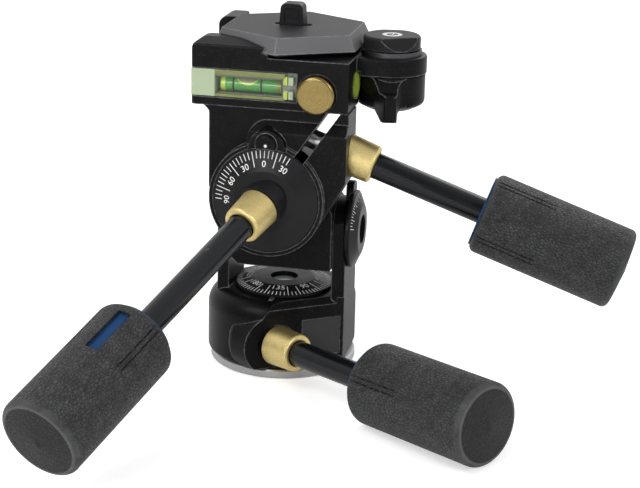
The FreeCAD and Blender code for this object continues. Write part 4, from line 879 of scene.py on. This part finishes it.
@dataclass
class Castings:
    """Castings, covers, caps and quick-release parts, with the strokes on the right cap."""

    cap_scale: DegreeScale = DegreeScale(
        "right_cap", Body.TILT, Axis((35.6, 0.0, 72.8), azimuth=0, rise=0), outer=(20.2, 2.2),
        inner=(12.6, 5.6), marks=range(-30, 80, 5), long_marks=range(-30, 80, 15),
        stroke=(19.0, 17.6, 16.2), width=0.35)

    def dress(self, dresser: Dresser) -> None:
        """Black coat on the big castings, greyer coats and plain plastic on the rest.

        Args:
            dresser: Keeper of the nodes.
        """
        # The line colours below are painted highlights along the edges.
        grey = dict(roughness=0.42, stipple=0.5, depth=0.01, edge=0.8)
        # The plate's slope colour is a painted sheen on its upward faces.
        plate = PowderCoat("plate_grey_coat", color=(0.030, 0.030, 0.032), worn=(0.09, 0.09, 0.095),
                           line=(0.34, 0.34, 0.35), slope=(0.13, 0.13, 0.135), **grey)
        knob = PowderCoat("knob_grey_coat", color=(0.014, 0.014, 0.015), worn=(0.07, 0.07, 0.073),
                          line=(0.22, 0.22, 0.23), **grey)
        polymer = MouldedPlastic("black_polymer", (0.009, 0.009, 0.010), roughness=0.40, gloss=0.15)
        grained = MouldedPlastic("grained_plastic", (0.036, 0.036, 0.037), roughness=0.55,
                                 texture=0.03, grain=0.5, gloss=0.2)
        glossy = MouldedPlastic("cap_gloss", (0.006, 0.006, 0.007), roughness=0.33, gloss=0.14)
        dresser.dress_rows((
            (PowderCoat("black_coat"),
             ("pan_housing", "tilt_block", "upper_casting", "platform", "release_lever")),
            (polymer, ("left_cap", "rear_cap", "side_washer", "screw_cap")),
            (grained, ("blank_plate",)),
            (glossy, ("right_cap",)),
            (plate, ("camera_plate",)),
            (knob, ("release_cam",)),
        ))


@dataclass
class Hardware:
    """Shafts, screws, bushes, studs and the brass safety button."""

    button_axis: Axis = Axis((23.2, -37.0, 151.0), azimuth=-90, rise=0)

    def dress(self, dresser: Dresser) -> None:
        """Steel in three grades, bronze bushes, and rings about the button's axis.

        Args:
            dresser: Keeper of the nodes.
        """
        button = TurnedMetal("button_brass", (0.27, 0.20, 0.075), self.button_axis, roughness=0.24,
                             ring=0.55, depth=0.05, tarnish=(0.14, 0.09, 0.03))
        dresser.dress_rows((
            (PlainMetal("plain_steel", (0.60, 0.60, 0.61), 0.3),
             ("cross_shaft", "trunnion", "rear_nut", "platform_screws", "screw_guide",
              "camera_screw", "button_spring", "front_handle_stud", "side_handle_stud",
              "pan_handle_stud")),
            (PlainMetal("dull_steel", (0.10, 0.10, 0.105), 0.45),
             ("cam_washer", "front_handle_pin")),
            (PlainMetal("bright_plating", (0.8, 0.8, 0.8), 0.12), ("cap_screw", "pivot_screw")),
            (PlainMetal("bronze_bush", (0.50, 0.36, 0.18), 0.35),
             ("arm_bush_left", "arm_bush_right", "pan_brake_shoe")),
            (button, ("safety_button",)),
        ))


@dataclass
class Handle:
    """One handle: brass ferrule, black rod, coloured core and rubber grip.

    Attributes:
        axis: Line of the rod, from the ferrule's foot.
        bare: Length of rod between ferrule and grip.
    """

    prefix: str
    axis: Axis
    bare: float
    ferrule: float = 17.5
    grip: float = 75.4

    def dress(self, dresser: Dresser, blue: Material, brass: Material) -> None:
        """Give every piece of the handle but its stud a finish.

        Args:
            dresser: Keeper of the nodes.
            blue: Material of the core.
            brass: Material of the ferrule.
        """
        near = self.ferrule + self.bare
        dresser.dress([self.prefix + "_ferrule"], brass)
        dresser.dress([self.prefix + "_core"], blue)
        dresser.dress_rows((
            (GlossPaint(self.prefix + "_paint", self.axis), (self.prefix + "_rod",)),
            (GrainedRubber(self.prefix + "_rubber", self.axis, near, self.grip),
             (self.prefix + "_grip",)),
        ))
        LOG.info("handle %s dressed", self.prefix)


@dataclass
class PanBase:
    """Base disc and pan scale, whose zero stands at the front of the head."""

    scale: DegreeScale = DegreeScale(
        "pan_scale", Body.BASE, Axis((0, 0, 0)), outer=(25.7, 41.0), inner=(16.0, 43.4),
        marks=range(0, 360, 5), long_marks=tuple(a for a in range(0, 360, 15) if a % 45),
        stroke=(25.0, 22.0, 17.2), width=0.45, zero=48.5, sense=-1,
        labels={a: str(a) for a in range(0, 360, 45)}, label_radius=18.4, label_size=5.0,
        inward=True)

    def build(self, dresser: Dresser, ink: Material) -> None:
        """Dress the base and print the pan scale.

        Args:
            dresser: Keeper of the nodes.
            ink: Material of the marks.
        """
        dresser.dress_rows((
            (PlainMetal("base_disc_metal", (0.50, 0.50, 0.51), 0.38), ("base_plate",)),
            (PlainMetal("bright_steel", (0.62, 0.62, 0.63), 0.3),
             ("thread_bush", "grub_screws", "pan_spindle", "spindle_nut")),
            (MouldedPlastic("dial_plastic", (0.006, 0.006, 0.007), roughness=0.40, gloss=0.18),
             ("pan_scale", "floor_washer", "pan_level_cup")),
            (ClearStock("pale_liquid", (0.62, 0.76, 0.72), roughness=0.1), ("pan_level_vial",)),
        ))
        self.scale.build(ink)


@dataclass
class FrontDial:
    """Dial of the sideways tilt, marked from ninety on the left to thirty on the right."""

    scale: DegreeScale = DegreeScale(
        "front_dial", Body.TILT, Axis((0, 0, 97.3), azimuth=-90, rise=0), outer=(26.65, 44.3),
        inner=(15.6, 47.7), marks=range(-30, 95, 5), long_marks=(-15, 15, 45, 75),
        stroke=(25.6, 22.0, 18.0), width=0.42, zero=1.5,
        labels={90: "90", 60: "60", 30: "30", 0: "0", -30: "30"}, label_radius=19.2,
        label_size=4.3, proud=0.04)

    def build(self, dresser: Dresser, ink: Material) -> None:
        """Dress the dial and print its marks.

        Args:
            dresser: Keeper of the nodes.
            ink: Material of the marks.
        """
        black = MouldedPlastic("front_dial_plastic", (0.008, 0.008, 0.009), roughness=0.36,
                               gloss=0.2)
        dresser.dress_rows(((black, ("front_dial", "dial_screws")),))
        self.scale.build(ink)


@dataclass
class FrontLevel:
    """Tube level in its acrylic block: frosted end, tinted bars, rings, bubble and plug.

    A Span holds the lower and upper limit of a piece along one axis.

    Attributes:
        across, deep, tall: Limits of the block in X, Y and Z.
        tube: Y and Z of the tube's axis.
        pane, skin_wall: Clear thickness before and behind the inserts, and round them.
        start, ends: Left limit of the tinted inserts, and right limit of bars, strips, wall.
        plug: Left and front limit of the plug.
        square, pad: Limits of the two lit squares and of the frosted pads beside them.
        lift: How far the tube's two ends stand outside it.
        droop: Angle that the bubble's middle reaches down the tube, in degrees.
    """

    across: Span = (-40.9, 13.0)
    deep: Span = (-37.0, -25.0)
    tall: Span = (146.2, 160.5)
    tube: Span = (-31.0, 152.55)
    radius: float = 3.7
    pane: float = 0.3
    skin_wall: float = 0.4
    frost_end: float = -28.6
    start: float = -28.5
    ends: Tuple[float, float, float] = (7.0, 6.0, 5.0)
    wall_front: float = -26.9
    plug: Span = (5.1, -33.5)
    square: Span = (6.4, 8.2)
    pad: Span = (8.9, 11.2)
    tab_back: float = -34.0
    tab_half: float = 1.9
    rings: Span = (-19.6, -5.4)
    ring_half: float = 0.35
    tube_end: Span = (-25.9, -23.7)
    tube_stop: Span = (2.5, 4.7)
    lift: float = 0.06
    facets: int = 48
    bubble_x: float = -12.5
    bubble_half: float = 6.3
    droop: float = 88.0

    def block(self, name: str, x: Span, y: Span, z: Span, material: Material) -> None:
        """Set one insert into the block.

        Args:
            name: Piece name.
            x: Left and right limit.
            y: Front and back limit.
            z: Lower and upper limit.
            material: Finish.
        """
        foot = [(x[0], y[0]), (x[1], y[0]), (x[1], y[1]), (x[0], y[1])]
        corners = np.array([[(a, b, height) for height in z for a, b in foot]], dtype=float)
        points, faces = MeshShop.boxes(corners * MM)
        MeshShop.piece(name, points, faces, material, Body.UPPER, "clear_block")

    def drum(self, name: str, x: Span, lift: float, material: Material) -> None:
        """Set one short cylinder about the tube's axis.

        Args:
            name: Piece name.
            x: Left and right limit.
            lift: How far it stands outside the tube.
            material: Finish.
        """
        axis = Axis((x[0], *self.tube), azimuth=0, rise=0)
        points, faces = MeshShop.cylinder(self.radius + lift, x[1] - x[0], self.facets, axis)
        MeshShop.piece(name, points, faces, material, Body.UPPER, "liquid")

    def skin(self, name: str, part: Span, lift: float, material: Material) -> None:
        """Patch on the tube whose lower edge is the bubble's.

        At a distance s from the bubble's middle, as a share of its half length, the bubble
        reaches down the tube by the angle droop times (1 - s^2)^0.5; the patch covers the
        part of that angle that is asked for.

        Args:
            name: Piece name.
            part: Shares of the angle where the patch starts and ends.
            lift: How far it stands outside the tube.
            material: Finish.
        """
        along, down = 41, 9
        grid = np.linspace(-1, 1, along), np.linspace(*part, down)
        s, share = np.meshgrid(*grid, indexing="ij")
        angle = np.radians(self.droop * np.sqrt(np.clip(1 - s ** 2, 0, 1)) * share)
        radius = self.radius + lift
        points = np.stack([self.bubble_x + s * self.bubble_half,
                           self.tube[0] - radius * np.sin(angle),
                           self.tube[1] + radius * np.cos(angle)], axis=-1) * MM
        cell = down * np.arange(along - 1)[:, None] + np.arange(down - 1)
        corners = [cell, cell + 1, cell + down + 1, cell + down]
        faces = np.stack(corners, axis=-1).reshape(-1, 4)
        MeshShop.piece(name, points, faces, material, Body.UPPER, "bubble", smooth=True)

    def build(self, dresser: Dresser) -> None:
        """Dress the nodes of both levels and set the inserts into the block.

        Args:
            dresser: Keeper of the nodes.
        """
        # Both liquids get a painted glow by emission.
        lime = ClearStock("lime_liquid", (0.40, 0.52, 0.06), roughness=0.15, glow=0.12).material()
        haze = ClearStock("bubble_haze", (0.30, 0.30, 0.19)).material()
        frost = ClearStock("frosted_end", (0.40, 0.49, 0.31), roughness=0.35, wave=0.05).material()
        olive = ClearStock("olive_bar", (0.16, 0.18, 0.030), wave=0.03).material()
        dresser.dress(["side_level_vial"], lime)
        dresser.dress(["level_bubble"], haze)
        dresser.dress_rows((
            (ClearStock("clear_acrylic", (0.80, 0.86, 0.70), cover=0.05, roughness=0.04),
             ("level_block",)),
            (ClearStock("green_liquid", (0.055, 0.26, 0.045), roughness=0.15, glow=0.12),
             ("level_liquid",)),
            (ClearStock("cup_acrylic", (0.34, 0.46, 0.09), cover=0.55, roughness=0.08),
             ("side_level_cup",)),
        ))
        self.inserts(lime, frost, olive)
        dark = MouldedPlastic("ring_ink", (0.006, 0.008, 0.004), roughness=0.4).material()
        for index, x in enumerate(self.rings):
            edges = (x - self.ring_half, x + self.ring_half)
            self.drum("level_ring_%d" % index, edges, self.ring_half, dark)
        self.drum("level_tube_end", self.tube_end, self.lift, lime)
        self.drum("level_tube_stop", self.tube_stop, self.lift, olive)
        self.skin("level_bubble_skin", (0.0, 0.84), 0.08, haze)
        self.skin("level_bubble_rim", (0.80, 1.0), 0.14, lime)

    def inserts(self, lime: Material, frost: Material, olive: Material) -> None:
        """Set the frosted end, bars, strips, wall, plug, squares and pads.

        Args:
            lime: Material of the lit squares.
            frost: Material of the frosted end and of the pads.
            olive: Material of the two bars.
        """
        pale = ClearStock("pale_wall", (0.20, 0.22, 0.17)).material()
        grey = ClearStock("grey_strip", (0.10, 0.11, 0.085)).material()
        (left, right), (low, high), middle = self.across, self.tall, self.tube[1]
        bar, strip, wall = ((self.start, end) for end in self.ends)
        front, back = self.deep[0] + self.pane, self.deep[1] - self.pane
        deep, sunk = (front, back), (front + 1, back)
        skin = self.skin_wall
        frosted, plug = (left + skin, self.frost_end), (self.plug[0], right - skin)
        for name, x, y, z, material in (
            ("frost", frosted, deep, (low + skin, high - skin), frost),
            ("bar_top", bar, deep, (high - 2.9, high - skin), olive),
            ("bar_low", bar, deep, (low + skin, low + 1.8), olive),
            ("strip_top", strip, sunk, (middle + 3.9, high - 3.0), grey),
            ("strip_low", strip, sunk, (low + 1.9, middle - 3.9), grey),
            ("wall", wall, (self.wall_front, back), (middle - 3.8, middle + 3.8), pale),
            ("plug", plug, (self.plug[1], back), (low + 1.9, high - 0.6), pale),
        ):
            self.block("level_" + name, x, y, z, material)
        for name, z in (("high", middle + 3.9), ("low", middle - 3.3)):
            tab = (front, self.tab_back), (z - self.tab_half, z + self.tab_half)
            self.block("level_square_" + name, self.square, *tab, lime)
            self.block("level_pad_" + name, self.pad, *tab, frost)


# --- Stage ---
@dataclass(frozen=True)
class View:
    """Camera of the maker's view: metres, degrees, and millimetres for lens and sensor."""

    place: Point = (0.200208, -0.863338, 0.346643)
    azimuth: float = 11.86
    rise: float = 17.85
    roll: float = 1.39
    lens: float = 99.57
    sensor: float = 36.0
    clip: Span = (0.01, 20.0)

    def build(self) -> None:
        """Place the camera: level first, then turned by its roll."""
        a, e, turn = (math.radians(v) for v in (self.azimuth, self.rise, self.roll))
        back = Vector((math.sin(a) * math.cos(e), -math.cos(a) * math.cos(e), math.sin(e)))
        level = Vector((math.cos(a), math.sin(a), 0))
        upright = back.cross(level)
        right = level * math.cos(turn) + upright * math.sin(turn)
        up = upright * math.cos(turn) - level * math.sin(turn)
        data = bpy.data.cameras.new("view")
        data.lens, data.sensor_width = self.lens, self.sensor
        data.clip_start, data.clip_end = self.clip
        camera = linked("view", data)
        camera.matrix_world = Matrix((right, up, back)).transposed().to_4x4()
        camera.location = self.place
        bpy.context.scene.camera = camera


@dataclass(frozen=True)
class Lamp:
    """Square soft lamp that looks at the head: places and edge length in metres, and watts."""

    name: str
    place: Point
    size: float
    power: float
    aim: Point = (0.02, -0.02, 0.09)

    def build(self) -> None:
        """Hang the lamp and turn it to its aim."""
        data = bpy.data.lights.new(self.name, "AREA")
        data.size, data.energy = self.size, self.power
        lamp = linked(self.name, data)
        lamp.location = self.place
        way = Vector(self.aim) - Vector(self.place)
        lamp.rotation_euler = way.to_track_quat("-Z", "Y").to_euler()


@dataclass
class Studio:
    """Floor, backdrop, lamps and camera, in metres.

    Attributes:
        to_camera, to_mirrors: Glow of the floor for the camera, and for metal and glass.
        soft_light: Strength of the world's light from the front and from the back.
    """

    floor_half: float = 3.0
    floor_drop: float = 0.0002
    floor_color: Rgb = (0.93, 0.93, 0.93)
    to_camera: float = 0.5
    to_mirrors: float = 0.2
    soft_light: Span = (0.25, 0.60)
    lamps: Tuple[Lamp, ...] = (
        Lamp("key", (-0.75, -0.75, 1.35), 0.7, 9.0),
        Lamp("front", (-0.24, -1.15, 0.45), 0.34, 3.8),
        Lamp("fill", (1.05, -0.88, 0.80), 0.6, 7.0),
        Lamp("rim", (0.3, 1.2, 1.0), 0.9, 5.0),
    )

    def world(self) -> None:
        """White background with a soft light that is weaker from the maker's side.

        The camera, glass and metal see plain white, metal only up to the sides of the
        head. Other rays see a strength that rises from the maker's side to the back.
        """
        world = bpy.data.worlds.new("studio")
        bpy.context.scene.world = world
        world.use_nodes = True
        world.node_tree.nodes.clear()
        g = NodeGraph(world.node_tree)
        ray = g.add("LightPath").outputs
        _, rearward, _ = g.parts(g.add("TexCoord").outputs["Generated"])
        mirrored = g.times(ray["Is Glossy Ray"], g.ramp(rearward, -0.55, 0.3))
        seen = g.math("MAXIMUM", ray["Is Camera Ray"], ray["Is Transmission Ray"])
        seen = g.math("MAXIMUM", seen, mirrored)
        strength = g.ramp(rearward, -0.55, 0.5, *self.soft_light)
        soft = g.add("Background", {"Color": WHITE, "Strength": strength})
        white = g.add("Background", {"Color": WHITE})
        both = g.add("MixShader", {0: seen, 1: soft.outputs[0], 2: white.outputs[0]})
        g.add("OutputWorld", {0: both.outputs[0]})

    def floor(self) -> None:
        """Pale floor just under the base, white to the camera but for the shadow.

        Metal and glass see it at about plain white: its lit colour plus a small share.
        """
        h, z = self.floor_half, -self.floor_drop
        mesh = bpy.data.meshes.new("floor")
        mesh.from_pydata([(-h, -h, z), (h, -h, z), (h, h, z), (-h, h, z)], [], [(0, 1, 2, 3)])
        g = ShaderGraph("pale_floor")
        ray = g.add("LightPath").outputs
        mirrored = g.math("MAXIMUM", ray["Is Glossy Ray"], ray["Is Transmission Ray"])
        direct = g.times(ray["Is Camera Ray"], self.to_camera)
        shine = g.math("MAXIMUM", direct, g.times(mirrored, self.to_mirrors))
        g.base(Base_Color=self.floor_color, Roughness=0.9, Specular_IOR_Level=0.1)
        g.base(Emission_Color=WHITE, Emission_Strength=shine)
        mesh.materials.append(g.material)
        obj = linked("floor", mesh)

    def build(self) -> None:
        """Set the whole stage."""
        View().build()
        self.world()
        self.floor()
        for lamp in self.lamps:
            lamp.build()
        bpy.context.scene.view_settings.view_transform = "Standard"


def main() -> None:
    """Load the frame, build every sub-assembly and finish."""
    logging.basicConfig(level=logging.INFO, format="%(message)s")
    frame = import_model()
    dresser = Dresser(frame["nodes"])
    ink = MouldedPlastic("white_ink", (0.80, 0.80, 0.80), roughness=0.6, texture=0.0).material()
    blue = MouldedPlastic("blue_core", (0.005, 0.036, 0.11), gloss=0.2).material()
    brass = BlastedMetal("ferrule_brass", (0.82, 0.68, 0.32), (0.56, 0.43, 0.16)).material()
    dresser.dress(["index_dot"], ink)
    castings = Castings()
    castings.dress(dresser)
    Hardware().dress(dresser)
    PanBase().build(dresser, ink)
    FrontDial().build(dresser, ink)
    for handle in (
        Handle("front_handle", Axis((-1.2, -51.2, 95.9), azimuth=-109.4, rise=-20.5), bare=89.6),
        Handle("side_handle", Axis((34.7, -24.0, 119.9), azimuth=0.0, rise=-19.2), bare=58.3),
        Handle("pan_handle", Axis((4.3, -34.9, 17.5), azimuth=-35.0, rise=1.6), bare=55.1),
    ):
        handle.dress(dresser, blue, brass)
    FrontLevel().build(dresser)
    castings.cap_scale.build(ink)
    dresser.check()
    Studio().build()
    bpy.context.view_layer.update()


if __name__ == "__main__":
    main()
